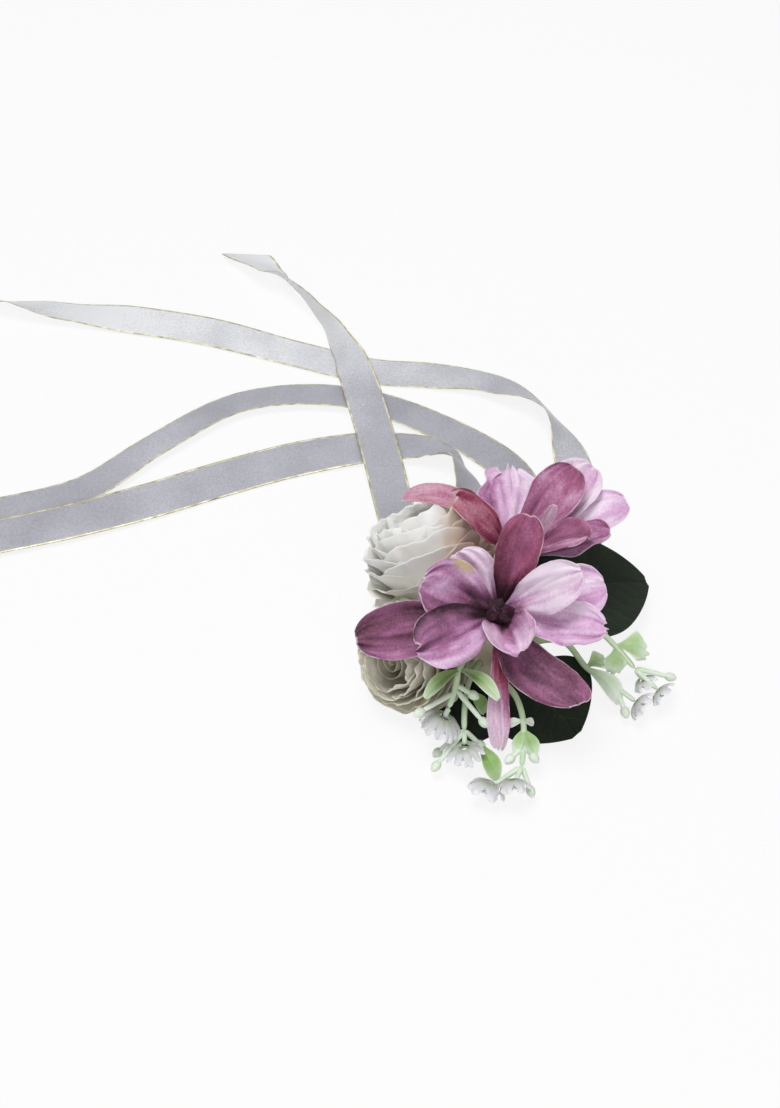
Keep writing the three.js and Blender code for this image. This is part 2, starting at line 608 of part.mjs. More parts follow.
const SPRIGS = {
  sprig_front_left: {
    route: [
      at(-2.5, -6.5, 7), at(-4.1, -12.8, 18.2), at(-6.6, -19.7, 24),
      at(-8.1, -24.7, 20), at(-9.4, -27.3, 16.5),
    ],
    buds: [
      [at(-8.1, -24.8, 20), at(-17, -30.5, 19.5)],
      [at(-7.8, -24.2, 20.6), at(-0.5, -30, 14)],
      [at(-7.6, -23.4, 21.4), at(-3.2, -25, 19)],
    ],
    leaves: [
      [at(-6.8, -20.4, 23.8), at(-16.4, -29, 24), 2.3],
      [at(-6.6, -20.2, 23.8), at(5, -30, 23), 2.6],
    ],
    florets: [["floret_front_left", at(-9.4, -27.3, 16.5), at(-11.3, -29.4, 12), 1]],
  },
  sprig_front_middle: {
    route: [
      at(0, -7.5, 7), at(-1.5, -13, 14), at(-4, -19.5, 16.5),
      at(-5.2, -26, 13.5), at(-5.3, -30.4, 10),
    ],
    buds: [
      [at(-5.3, -29.8, 10.4), at(-12, -32.4, 2.6)],
      [at(-5.3, -30.2, 10.1), at(-12.6, -37.7, 5)],
      [at(-5.3, -30, 10.2), at(-0.8, -31, 4.2)],
    ],
    leaves: [
      [at(-1, -30.9, 4.4), at(3.2, -39.6, 1.2), 2.5],
      [at(-4.4, -21.5, 16), at(0.2, -25.8, 11.5), 2],
    ],
    florets: [["floret_front_middle", at(-5.3, -30.4, 10), at(-5.1, -35.2, 7), 0.92]],
  },
  sprig_front_right: {
    route: [
      at(4, -7.5, 7), at(3.4, -13, 14), at(3.8, -19, 18), at(7.8, -23.1, 16),
      at(9.8, -28.5, 13), at(9.7, -34.5, 10), at(9.3, -39.4, 7.5),
    ],
    buds: [
      [at(9.7, -34.8, 9.9), at(6.3, -37.6, 8.5)],
      [at(9.7, -34.4, 10.1), at(12.4, -37.2, 8.5)],
      [at(9.3, -39.2, 7.6), at(11.4, -44.6, 4.5)],
    ],
    leaves: [
      [at(9.8, -28.9, 12.9), at(5.6, -30, 12), 1.3],
      [at(9.8, -28.9, 12.9), at(12.6, -29.6, 12.4), 1.2],
      [at(9.8, -30.8, 12), at(7.6, -35.9, 9), 1.5],
      [at(9.8, -30.8, 12), at(12.8, -36.6, 8.8), 1.9],
    ],
    florets: [
      ["floret_front_low", at(9.3, -39.2, 7.6), at(0, -45, 5.7), 0.92],
      ["floret_front_right", at(9.3, -39.2, 7.6), at(6.6, -45.7, 9.5), 0.8],
    ],
  },
  sprig_side_upper: {
    route: [
      at(10.5, -3, 7), at(20, -1.5, 14), at(30.2, -0.8, 14.5),
      at(35.7, -6.1, 13.5), at(41, -11.6, 10.5),
    ],
    buds: [[at(40.8, -11.3, 10.7), at(50.4, -12.7, 8.5)]],
    leaves: [
      [at(35.7, -6.1, 13.5), at(44.3, -7.4, 12), 3.2],
      [at(35.7, -6.4, 13.4), at(35.1, -12, 9.5), 2.3],
    ],
    florets: [
      ["floret_side_upper", at(41, -11.6, 10.5), at(43.9, -13.6, 6.6), 0.5],
      ["floret_side_far", at(41, -11.6, 10.5), at(49.3, -17.4, 6.6), 0.65],
    ],
  },
  sprig_side_lower: {
    route: [
      at(9, -6.5, 7), at(15, -3.8, 12), at(22.4, -3.8, 12),
      at(28.2, -10.9, 10), at(32.3, -13.4, 9), at(36.1, -15.4, 7.5),
    ],
    buds: [[at(35.8, -15.2, 7.6), at(38, -21.2, 4.5)]],
    leaves: [
      [at(28, -10.6, 10.1), at(33.6, -8.6, 10.5), 2.4],
      [at(28.2, -10.9, 10), at(36.8, -18.6, 5), 3],
    ],
    florets: [["floret_side_lower", at(36.1, -15.4, 7.5), at(43, -20.2, 5), 0.7]],
  },
};

// Everything that stands in the glue, and the glue with room for each
const STANDING = {
  back_rose_stem: backRose,
  front_rose_stem: frontRose,
  front_blossom_stem: frontBlossom,
  rear_blossom_stem: rearBlossom,
};
for (const [name, row] of Object.entries(LEAVES)) STANDING[name] = leaf(row);
for (const [name, row] of Object.entries(SPRIGS)) STANDING[name] = sprig(row);
const dome = [0, 0.3, 0.6, 0.82, 0.95].map((share) => [
  GLUE_RADIUS * Math.sqrt(1 - share * share), GLUE_Z + GLUE_HEIGHT * share,
]);
let glue = turned(dome, 20);
for (const [name, { shape, room, material }] of Object.entries(STANDING)) {
  piece(name, shape, material);
  glue = glue.subtract(room);
}
piece("glue_mound", glue, GLUE_FINISH());

export default root;
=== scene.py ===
import math

import bmesh
import bpy
from mathutils import Matrix, Vector, noise


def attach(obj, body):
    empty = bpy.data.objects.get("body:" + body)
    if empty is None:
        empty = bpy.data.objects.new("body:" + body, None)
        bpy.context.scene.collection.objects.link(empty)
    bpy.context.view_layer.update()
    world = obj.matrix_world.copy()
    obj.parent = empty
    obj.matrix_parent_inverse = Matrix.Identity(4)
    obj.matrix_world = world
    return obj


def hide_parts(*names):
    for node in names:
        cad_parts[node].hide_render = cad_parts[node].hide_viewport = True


# Looks of the wrist corsage: cloth flowers and leaves, moulded filler sprigs and sheer ribbons.
# Everything is in metres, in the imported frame: +Z up, +Y to where the ribbons leave.
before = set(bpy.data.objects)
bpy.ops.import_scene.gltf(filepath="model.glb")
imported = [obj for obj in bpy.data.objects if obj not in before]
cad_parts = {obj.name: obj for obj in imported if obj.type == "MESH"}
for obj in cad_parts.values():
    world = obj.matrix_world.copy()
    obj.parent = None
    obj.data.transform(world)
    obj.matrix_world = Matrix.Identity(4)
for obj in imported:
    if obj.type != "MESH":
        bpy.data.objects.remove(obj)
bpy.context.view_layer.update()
MM = 0.001
UP = Vector((0, 0, 1))
# A direction that no stem runs along
OFF_STEMS = Vector((0.31, 0.87, 0.39))

# Sizes of the pieces
RIBBON_WIDTH = 12 * MM
RIBBON_THICK = 0.25 * MM
PAD_RADIUS = 17 * MM
FELT = 1.5 * MM
PETAL_LENGTH = 27 * MM
PETAL_WIDTH = 17 * MM
PETAL_THICK = 0.3 * MM
HUB_RADIUS = 3.2 * MM
TIER_STEP = 2 * MM
ROSE_PETAL_THICK = 0.22 * MM
ROSE_STRETCH = 1.36
LEAF_WIDTH = 34 * MM
LEAF_THICK = 0.6 * MM
SPRIG_STEM = 1 * MM
SPRIG_LEAF_THICK = 0.4 * MM
BUD_RADIUS = 1.3 * MM
FLORET_RADIUS = 5 * MM
FLORET_THICK = 0.3 * MM
FLORET_NEST = 0.3 * MM
WELD = 0.002 * MM

# Columns and rows of the grids that sheets start from, and sides of round stems and buds
BAND_GRID = (4, 6)
TAIL_COLUMNS = 6
ROSE_GRID = (28, 16)
ROSE_BUD_GRID = (72, 10)
PETAL_GRID = (26, 34)
LEAF_GRID = (28, 44)
SPRIG_LEAF_GRID = (14, 14)
FLORET_GRID = (8, 10)
STEM_SIDES = 8
BUD_SIDES = 15

# A leaf's side veins, which its shape and its finish share: how many, and how far they slant
LEAF_VEINS = 9
VEIN_SLANT = 2.2


def at(x, y, z):
    return Vector((x, y, z)) * MM


def around(out, angle, z=0.0):
    """Point that far out from the Z axis, at an angle round it."""
    return Vector((out * math.cos(angle), out * math.sin(angle), z))


def ease(share):
    """Smooth way from 0 to 1, level at both ends."""
    share = min(1.0, max(0.0, share))
    return share * share * (3 - 2 * share)


def rough(*where):
    """Smooth noise from -1 to 1 at a place given by one to three numbers."""
    return noise.noise(Vector((*where, 0.37, 0.71)[:3]))


# Camera, light and floor
LENS = 44.19
CAMERA_AT = at(-24.46, -210.63, 315.2)
CAMERA_TILT = math.radians(38)
WORLD_LIGHT = 0.24
FLOOR_HALF = 4
FLOOR_GLOW = 0.86
WHITE = (1, 1, 1, 1)


def add_to_scene(name, data):
    made = bpy.data.objects.new(name, data)
    bpy.context.scene.collection.objects.link(made)
    return made


def make_camera():
    lens = bpy.data.cameras.new("camera")
    lens.lens = LENS
    camera = add_to_scene("camera", lens)
    camera.location = CAMERA_AT
    camera.rotation_euler = (CAMERA_TILT, 0, 0)
    bpy.context.scene.camera = camera


def add_lamp(name, place, power, size):
    light = bpy.data.lights.new(name, "AREA")
    light.energy = power
    light.shape = "DISK"
    light.size = size
    lamp = add_to_scene(name, light)
    lamp.location = place
    lamp.rotation_euler = (-Vector(place)).to_track_quat("-Z", "Y").to_euler()


def seen_ray(tree):
    """One for rays that show a surface to the eye, straight or by way of gloss or glass."""
    path = tree.nodes.new("ShaderNodeLightPath")
    total = path.outputs["Is Camera Ray"]
    for kind in ("Is Glossy Ray", "Is Transmission Ray"):
        either = tree.nodes.new("ShaderNodeMath")
        either.operation = "MAXIMUM"
        tree.links.new(total, either.inputs[0])
        tree.links.new(path.outputs[kind], either.inputs[1])
        total = either.outputs[0]
    return total


def mix_shaders(tree, share, first, second, output):
    """Blend two shaders by a share and send them to the output."""
    blend = tree.nodes.new("ShaderNodeMixShader")
    for source, socket in zip((share, first.outputs[0], second.outputs[0]), blend.inputs):
        tree.links.new(source, socket)
    tree.links.new(blend.outputs[0], tree.nodes[output].inputs["Surface"])


def make_world():
    """Soft light from all round, which is plain white to the eye."""
    world = bpy.data.worlds.new("studio")
    bpy.context.scene.world = world
    world.use_nodes = True
    tree = world.node_tree
    soft = tree.nodes["Background"]
    soft.inputs["Color"].default_value = WHITE
    soft.inputs["Strength"].default_value = WORLD_LIGHT
    white = tree.nodes.new("ShaderNodeBackground")
    white.inputs["Color"].default_value = WHITE
    mix_shaders(tree, seen_ray(tree), soft, white, "World Output")


def make_floor():
    """Wide floor that glows a little to the eye, so that it is pale but takes shadows."""
    bm = bmesh.new()
    bmesh.ops.create_grid(bm, x_segments=1, y_segments=1, size=FLOOR_HALF)
    mesh = bpy.data.meshes.new("floor")
    bm.to_mesh(mesh)
    bm.free()
    floor = add_to_scene("floor", mesh)
    material = bpy.data.materials.new("floor_white")
    material.use_nodes = True
    tree = material.node_tree
    tree.nodes.remove(tree.nodes["Principled BSDF"])
    paint = tree.nodes.new("ShaderNodeBsdfDiffuse")
    paint.inputs["Color"].default_value = (0.9, 0.9, 0.9, 1)
    glow = tree.nodes.new("ShaderNodeEmission")
    glow.inputs["Color"].default_value = WHITE
    share = tree.nodes.new("ShaderNodeMath")
    share.operation = "MULTIPLY"
    tree.links.new(seen_ray(tree), share.inputs[0])
    share.inputs[1].default_value = FLOOR_GLOW
    mix_shaders(tree, share.outputs[0], paint, glow, "Material Output")
    mesh.materials.append(material)


bpy.context.scene.view_settings.view_transform = "Standard"
make_camera()
make_world()
add_lamp("overhead", (-0.15, -0.02, 0.92), 5.1, 0.4)
add_lamp("front_fill", (0.08, -0.75, 0.75), 2.6, 0.8)
make_floor()


# Finishes
def srgb(red, green, blue):
    """Colour of 0 to 255 a channel, as the linear one that a shader takes."""
    def linear(value):
        value /= 255
        return value / 12.92 if value <= 0.04045 else ((value + 0.055) / 1.055) ** 2.4
    return (linear(red), linear(green), linear(blue), 1)


class Finish:
    """A material with its node tree, and short calls for the nodes that finishes share."""

    def __init__(self, name, roughness, sheen=0.0, specular=0.5):
        self.material = bpy.data.materials.new(name)
        self.material.use_nodes = True
        self.tree = self.material.node_tree
        self.shader = self.tree.nodes["Principled BSDF"]
        self.set("Roughness", roughness)
        self.set("Sheen Weight", sheen)
        self.set("Specular IOR Level", specular)
        where = self.node("TexCoord")
        self.place = where.outputs["Object"]
        self.flat = where.outputs["UV"]

    def set(self, socket, value):
        self.feed((self.shader.inputs[socket],), (value,))

    def soften(self, weight, *reach):
        """Light that sinks in, with its reach in red, green and blue in millimetres."""
        self.set("Subsurface Weight", weight)
        self.set("Subsurface Radius", [value * MM for value in reach])

    def node(self, kind, **settings):
        made = self.tree.nodes.new("ShaderNode" + kind)
        for key, value in settings.items():
            setattr(made, key, value)
        return made

    def feed(self, sockets, values):
        for socket, value in zip(sockets, values):
            if isinstance(value, bpy.types.NodeSocket):
                self.tree.links.new(value, socket)
            else:
                socket.default_value = value

    def math(self, operation, *values):
        made = self.node("Math", operation=operation)
        self.feed(made.inputs, values)
        return made.outputs[0]

    def plus(self, total, *values):
        for value in values:
            total = self.math("ADD", total, value)
        return total

    def times(self, total, *values):
        for value in values:
            total = self.math("MULTIPLY", total, value)
        return total

    def swing(self, value, amount):
        """A texture of about 0 to 1 as a swing of half the amount each way."""
        return self.math("MULTIPLY_ADD", value, amount, -amount / 2)

    def between(self, value, low, high):
        """Zero below low, one above high and smooth between; low may be the larger."""
        made = self.node("MapRange", interpolation_type="SMOOTHSTEP")
        self.feed(made.inputs, (value, low, high, 0.0, 1.0))
        return made.outputs[0]

    def ramp(self, value, stops):
        """Colours by value, from stops of a place and red, green and blue."""
        made = self.node("ValToRGB")
        self.feed(made.inputs, (value,))
        elements = made.color_ramp.elements
        while len(elements) < len(stops):
            elements.new(1.0)
        for element, (place, *colour) in zip(elements, stops):
            element.position = place
            element.color = srgb(*colour)
        return made.outputs["Color"]

    def mix(self, share, first, second):
        made = self.node("Mix", data_type="RGBA")
        self.feed((made.inputs[0], made.inputs[6], made.inputs[7]), (share, first, second))
        return made.outputs[2]

    def attribute(self, name):
        return self.node("Attribute", attribute_name=name).outputs["Fac"]

    def stretched(self, vector, scale):
        made = self.node("Mapping")
        self.feed(made.inputs, (vector,))
        made.inputs["Scale"].default_value = scale
        return made.outputs[0]

    def noise(self, vector, scale, detail=2.0, seed=None, twist=0.0):
        made = self.node("TexNoise", noise_dimensions="3D" if seed is None else "4D")
        self.feed((made.inputs["Vector"],), (vector,))
        if seed is not None:
            self.feed((made.inputs["W"],), (seed,))
        made.inputs["Scale"].default_value = scale
        made.inputs["Detail"].default_value = detail
        made.inputs["Distortion"].default_value = twist
        return made.outputs["Fac"]

    def mottled(self, across, along, detail, twist=0.0):
        """Noise on the UV map, that fine across and along, and other on every petal."""
        stretched = self.stretched(self.flat, (across, along, 1))
        return self.noise(stretched, 1.0, detail, self.attribute("petal"), twist)

    def uv(self):
        """The share across and along, and how near an edge across: one at both edges."""
        made = self.node("SeparateXYZ")
        self.feed(made.inputs, (self.flat,))
        across, along = made.outputs[0], made.outputs[1]
        edge = self.math("ABSOLUTE", self.math("MULTIPLY_ADD", across, 2.0, -1.0))
        return across, along, edge

    def weave(self, threads_across, threads_along):
        """Height of a plain weave laid on the UV map."""
        across, along, _ = self.uv()
        warp = self.math("SINE", self.times(across, math.pi * threads_across))
        weft = self.math("SINE", self.times(along, math.pi * threads_along))
        return self.times(warp, weft)

    def done(self, colour, height, strength, depth):
        """The material, with its colour and a bump that is that many millimetres deep."""
        bump = self.node("Bump")
        self.feed((bump.inputs["Height"],), (height,))
        bump.inputs["Strength"].default_value = strength
        bump.inputs["Distance"].default_value = depth * MM
        self.set("Normal", bump.outputs[0])
        self.set("Base Color", colour)
        return self.material


def petal_cloth():
    """Dyed cloth with soft washes of light and dark, a fine grain and a thin light raw edge."""
    made = Finish("mauve_petal_cloth", 0.5, sheen=0.05, specular=0.3)
    made.soften(0.12, 1.2, 0.9, 1)
    _, along, edge = made.uv()
    washes = made.mottled(1.7, 2.3, 3.0, 0.9)
    blots = made.mottled(4.5, 7, 4.0, 0.6)
    streaks = made.mottled(17, 1.6, 4.0, 0.8)
    grain = made.noise(made.place, 1500.0, 3.0)
    # The depth attribute holds the dye together with painted shade at the roots and in the hollows,
    # painted highlights on the ridges and painted light and shade leaning to one edge.
    dye_and_shade = made.attribute("depth")
    depth = made.plus(
        dye_and_shade, made.swing(washes, 0.75), made.swing(blots, 0.2), made.swing(streaks, 0.15),
        made.swing(grain, 0.34),
    )
    cool = made.ramp(depth, (
        (0.0, 252, 234, 251), (0.26, 226, 184, 222), (0.52, 178, 118, 161),
        (0.76, 124, 80, 107), (1.0, 46, 18, 32),
    ))
    warm = made.ramp(depth, (
        (0.0, 246, 222, 226), (0.3, 212, 156, 172), (0.55, 174, 80, 111),
        (0.8, 124, 37, 64), (1.0, 50, 16, 28),
    ))
    tint = made.mottled(1.6, 1.3, 2.0, 0.4)
    warmth = made.plus(made.attribute("warmth"), made.swing(tint, 0.6))
    colour = made.mix(made.between(warmth, 0.0, 1.0), cool, warm)
    colour = made.mix(made.attribute("shine"), colour, srgb(206, 192, 132))
    fray = made.noise(made.place, 260.0, 3.0)
    rim = made.math("MAXIMUM", made.between(edge, 0.972, 0.992), made.between(along, 0.983, 0.997))
    rim = made.times(
        rim, made.between(fray, 0.36, 0.58), made.between(along, 0.1, 0.35), made.between(dye_and_shade, 0.95, 0.8),
    )
    colour = made.mix(made.times(rim, 0.55), colour, srgb(252, 238, 246))
    relief = made.plus(made.weave(90, 140), made.times(streaks, 4.0), made.times(grain, 2.0))
    return made.done(colour, relief, 0.4, 0.12)


def rose_cloth():
    """Thin cream cloth with painted shade that greys it low on each petal, a light edge and a painted
    peach reflection of the rear blossom.
    """
    made = Finish("cream_rose_cloth", 0.75, sheen=0.1, specular=0.25)
    made.soften(0.6, 2.4, 2.1, 1.7)
    _, along, edge = made.uv()
    streaks = made.mottled(9, 1.2, 4.0)
    washes = made.mottled(2, 1.5, 3.0)
    # painted shade: each petal darkens towards its foot, where the petals overlap
    depth = made.plus(
        made.attribute("depth"), made.swing(streaks, 0.2), made.swing(washes, 0.3),
        made.times(made.between(along, 0.8, 0.1), 0.28),
    )
    cream = made.ramp(depth, (
        (0.0, 254, 255, 252), (0.3, 248, 246, 236), (0.6, 226, 222, 204),
        (0.85, 190, 187, 162), (1.0, 142, 139, 114),
    ))
    # painted reflection of the rear blossom: peach, browner where deeper
    reflected_peach = made.ramp(depth, (
        (0.0, 255, 240, 226), (0.35, 250, 216, 190), (0.7, 222, 164, 124),
        (1.0, 160, 96, 64),
    ))
    colour = made.mix(made.attribute("warmth"), cream, reflected_peach)
    rim = made.math("MAXIMUM", made.between(edge, 0.95, 0.99), made.between(along, 0.955, 0.99))
    colour = made.mix(made.times(rim, 0.25), colour, srgb(255, 254, 250))
    relief = made.plus(made.weave(110, 110), made.times(streaks, 4.0))
    return made.done(colour, relief, 0.3, 0.12)


def leaf_cloth():
    """Near-black green cloth with a pressed midrib and side veins, and a painted highlight along its
    edge.
    """
    made = Finish("dark_leaf_cloth", 0.75, sheen=0.05, specular=0.18)
    _, along, edge = made.uv()
    slant = made.math("MULTIPLY_ADD", edge, -VEIN_SLANT, made.times(along, LEAF_VEINS))
    wave = made.math("ABSOLUTE", made.math("SINE", made.times(slant, math.pi)))
    veins = made.math("MAXIMUM", made.between(wave, 0.16, 0.02), made.between(edge, 0.05, 0.015))
    blotches = made.noise(made.place, 140.0, 3.0)
    threads = made.noise(made.place, 2200.0, 1.0)
    tone = made.plus(
        made.swing(blotches, 0.6), made.swing(threads, 0.5), made.math("MULTIPLY_ADD", veins, 0.22, 0.4),
        # painted highlight along the leaf's edge
        made.times(made.between(edge, 0.95, 0.995), 0.25),
    )
    colour = made.ramp(tone, (
        (0.0, 16, 23, 15), (0.45, 29, 40, 27), (0.8, 46, 60, 42),
        (1.0, 88, 104, 78),
    ))
    relief = made.math("MULTIPLY_ADD", veins, 2.0, made.weave(160, 160))
    return made.done(colour, relief, 0.35, 0.12)


def ribbon_organza():
    """Sheer lavender-grey weave, paled in places by painted sheen, with a bright thread along both edges.
    """
    made = Finish("lavender_organza", 0.42, sheen=0.3, specular=0.45)
    _, _, edge = made.uv()
    clouds = made.noise(made.place, 45.0, 2.0)
    grain = made.noise(made.place, 1500.0, 2.0)
    # the attribute read here pales the weave as painted sheen
    tone = made.plus(made.swing(clouds, 0.8), made.swing(grain, 0.55), made.attribute("shine"))
    body = made.ramp(tone, (
        (0.0, 148, 147, 156), (0.5, 190, 190, 200), (1.0, 244, 246, 249),
    ))
    glint = made.noise(made.place, 330.0, 3.0)
    thread = made.ramp(glint, (
        (0.25, 134, 128, 98), (0.5, 202, 196, 158), (0.75, 250, 247, 224),
    ))
    on_edge = made.between(edge, 0.87, 0.91)
    made.set("Metallic", made.times(on_edge, 0.35))
    made.set("Alpha", 0.93)
    relief = made.plus(made.weave(48, 900), grain)
    return made.done(made.mix(on_edge, body, thread), relief, 0.25, 0.05)


def sprig_plastic():
    """Soft pale-green plastic, lighter and milky towards the tips of its leaves."""
    made = Finish("sprig_soft_plastic", 0.5, specular=0.35)
    made.soften(0.2, 0.6, 0.9, 0.5)
    blotches = made.noise(made.place, 260.0, 3.0)
    tone = made.plus(made.attribute("depth"), made.swing(blotches, 0.45))
    colour = made.ramp(tone, (
        (0.0, 246, 250, 244), (0.35, 220, 237, 212), (0.65, 190, 216, 166),
        (1.0, 146, 182, 108),
    ))
    return made.done(colour, blotches, 0.2, 0.2)


def floret_plastic():
    """Milky white petals with a lilac cast, greyer towards the throat as painted shade, with a hint of
    green there.
    """
    made = Finish("floret_milky_plastic", 0.55, specular=0.3)
    made.soften(0.25, 0.8, 0.8, 0.8)
    _, along, edge = made.uv()
    blotches = made.noise(made.place, 420.0, 3.0)
    # painted shade: the petals grey towards the throat
    tone = made.plus(along, made.swing(blotches, 0.5))
    colour = made.ramp(tone, (
        (0.0, 166, 182, 150), (0.3, 202, 205, 202), (0.7, 226, 227, 230),
        (1.0, 246, 245, 249),
    ))
    return made.done(colour, made.plus(blotches, made.between(edge, 0.8, 1.0)), 0.3, 0.2)


def wool_felt():
    """Off-white pressed felt with a fuzzy grain."""
    made = Finish("white_felt", 0.95, sheen=0.4, specular=0.1)
    fibres = made.noise(made.stretched(made.place, (1, 1, 0.4)), 900.0, 5.0)
    colour = made.ramp(fibres, (
        (0.25, 206, 200, 188), (0.55, 236, 232, 222), (0.8, 248, 246, 240),
    ))
    return made.done(colour, fibres, 0.8, 0.3)


def hot_glue():
    """Cream hot-melt glue, a little milky and lumpy."""
    made = Finish("hot_melt_glue", 0.3, specular=0.5)
    lumps = made.noise(made.place, 240.0, 3.0)
    made.soften(0.3, 1.5, 1.4, 1.1)
    colour = made.ramp(lumps, (
        (0.2, 206, 196, 166), (0.7, 236, 230, 212),
    ))
    return made.done(colour, lumps, 0.5, 0.8)


SHADE_PLUM_FROM = 24 * MM
SHADE_PLUM_FULL = 28 * MM


def stem_plastic():
    """Mid-green moulded stem with lengthwise streaks, near-black plum as painted shade where it comes up
    through a blossom's dark centre.
    """
    made = Finish("green_stem_plastic", 0.55, specular=0.4)
    streaks = made.noise(made.stretched(made.place, (6, 6, 1)), 300.0, 3.0)
    green = made.ramp(streaks, (
        (0.2, 74, 96, 50), (0.55, 112, 140, 76), (0.85, 146, 168, 104),
    ))
    # painted shade: the stem's top goes near-black plum inside the blossom
    plum = made.ramp(streaks, ((0.2, 20, 7, 13), (0.8, 44, 18, 29)))
    height = made.node("SeparateXYZ")
    made.feed(height.inputs, (made.place,))
    colour = made.mix(made.between(height.outputs[2], SHADE_PLUM_FROM, SHADE_PLUM_FULL), green, plum)
    return made.done(colour, streaks, 0.4, 0.2)


def stamen_flock():
    """Dark plum flocked knob, near black as painted shade in the blossom's centre."""
    made = Finish("plum_flock", 0.95, sheen=0.1, specular=0.05)
    grains = made.noise(made.place, 2400.0, 2.0)
    colour = made.ramp(grains, (
        (0.3, 20, 7, 13), (0.6, 40, 16, 26), (0.85, 78, 42, 46),
    ))
    return made.done(colour, grains, 0.9, 0.3)


MAUVE_CLOTH = petal_cloth()
ROSE_CLOTH = rose_cloth()
LEAF_CLOTH = leaf_cloth()
ORGANZA = ribbon_organza()
SPRIG_PLASTIC = sprig_plastic()
FLORET_PLASTIC = floret_plastic()
FELT_CLOTH = wool_felt()
HOT_GLUE = hot_glue()
STEM_PLASTIC = stem_plastic()
STAMEN_FLOCK = stamen_flock()


# Making of pieces
class Piece:
    """A mesh in the making: sheets and tubes are laid on it, then it becomes one object."""

    def __init__(self):
        self.bm = bmesh.new()
        self.uv = self.bm.loops.layers.uv.new("UVMap")
        self.marks = {
            name: self.bm.verts.layers.float.new(name) for name in ("depth", "warmth", "petal", "shine")
        }
        self.count = 0

    def sheet(self, surface, columns, rows, **marks):
        """Grid laid on surface(u, v), with u from -1 to 1 and v from 0 to 1. A mark is a number or a
        function of u and v, kept as an attribute that the finish reads."""
        self.count += 1
        made = bmesh.ops.create_grid(self.bm, x_segments=columns, y_segments=rows, size=1)
        places = {v: (v.co.x, (v.co.y + 1) / 2) for v in made["verts"]}
        for face in {f for v in made["verts"] for f in v.link_faces}:
            face.smooth = True
            for loop in face.loops:
                u, v = places[loop.vert]
                loop[self.uv].uv = ((u + 1) / 2, v)
        for vert, (u, v) in places.items():
            vert.co = surface(u, v)
            vert[self.marks["petal"]] = self.count * 7.3
            for name, value in marks.items():
                vert[self.marks[name]] = value(u, v) if callable(value) else value
        return made["verts"]

    def tube(self, route, radius, steps=6, **marks):
        """Round stem through points, with a rounded end; radius is a function of the share along."""
        line = smooth_line(route, steps)

        def surface(u, v):
            index, along = on_line(line, v)
            side = along.cross(OFF_STEMS).normalized()
            up = side.cross(along)
            angle = math.pi * u
            return line[index] + radius(v) * (side * math.cos(angle) + up * math.sin(angle))

        verts = self.sheet(surface, STEM_SIDES, len(line) - 1, **marks)
        bmesh.ops.remove_doubles(self.bm, verts=verts, dist=WELD)

    def finish(self, name, nodes, material, thick=None, levels=1):
        """The object, with its wall and rounding, in place of its solids."""
        bmesh.ops.recalc_face_normals(self.bm, faces=self.bm.faces)
        mesh = bpy.data.meshes.new(name)
        self.bm.to_mesh(mesh)
        self.bm.free()
        mesh.materials.append(material)
        made = add_to_scene(name, mesh)
        if thick:
            wall = made.modifiers.new("cloth_thickness", "SOLIDIFY")
            wall.thickness = thick
            wall.offset = 0
        if levels:
            rounding = made.modifiers.new("rounding", "SUBSURF")
            rounding.levels = levels
            rounding.render_levels = levels
        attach(made, "root")
        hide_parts(*nodes)
        return made


def smooth_line(points, steps):
    """Centripetal curve through points, with that many steps between one and the next."""
    ends = [2 * points[0] - points[1], *points, 2 * points[-1] - points[-2]]
    line = []
    for index in range(len(points) - 1):
        a, b, c, d = ends[index:index + 4]
        ab, bc, cd = ((q - p).length ** 0.5 for p, q in ((a, b), (b, c), (c, d)))
        leave = ((b - a) / ab - (c - a) / (ab + bc) + (c - b) / bc) * bc
        arrive = ((c - b) / bc - (d - b) / (bc + cd) + (d - c) / cd) * bc
        for step in range(steps + (index == len(points) - 2)):
            t = step / steps
            line.append(
                b + leave * t + (3 * (c - b) - 2 * leave - arrive) * t ** 2
                + (2 * (b - c) + leave + arrive) * t ** 3
            )
    return line


def on_line(line, v):
    """Index of the line's point at a share of the way, and the line's direction there."""
    last = len(line) - 1
    index = min(int(v * last + 1e-6), last)
    return index, (line[min(index + 1, last)] - line[max(index - 1, 0)]).normalized()


def standing(centre, axis):
    """Frame whose Z is a flower's axis and whose X stays near world X."""
    z = axis.normalized()
    x = (Vector((1, 0, 0)) - z * z.x).normalized()
    y = z.cross(x)
    place = Matrix((x, y, z)).transposed().to_4x4()
    place.translation = centre
    return place


# Felt discs, and the folded middles of the two ribbons between them
FELT_SIDES = 72
FELT_ROUNDING = 0.35 * MM
FELT_ROUNDING_STEPS = 3
FELT_FUZZ = 900


def make_felt(name, z):
    piece = Piece()
    bmesh.ops.create_cone(
        piece.bm, cap_ends=True, segments=FELT_SIDES, radius1=PAD_RADIUS, radius2=PAD_RADIUS,
        depth=FELT, matrix=Matrix.Translation((0, 0, z + FELT / 2)),
    )
    rims = [e for e in piece.bm.edges if abs(e.verts[0].co.z - e.verts[1].co.z) < FELT / 2]
    bmesh.ops.bevel(
        piece.bm, geom=rims, offset=FELT_ROUNDING, segments=FELT_ROUNDING_STEPS, profile=0.5,
        affect="EDGES", material=-1,
    )
    for vert in piece.bm.verts:
        out = Vector((vert.co.x, vert.co.y, 0))
        if out.length > 0.9 * PAD_RADIUS:
            vert.co -= out * 0.012 * (1 + rough(*(vert.co * FELT_FUZZ)))
    for face in piece.bm.faces:
        face.smooth = len(face.verts) < 5
    piece.finish(name + "_cloth", [name], FELT_CLOTH, levels=0)


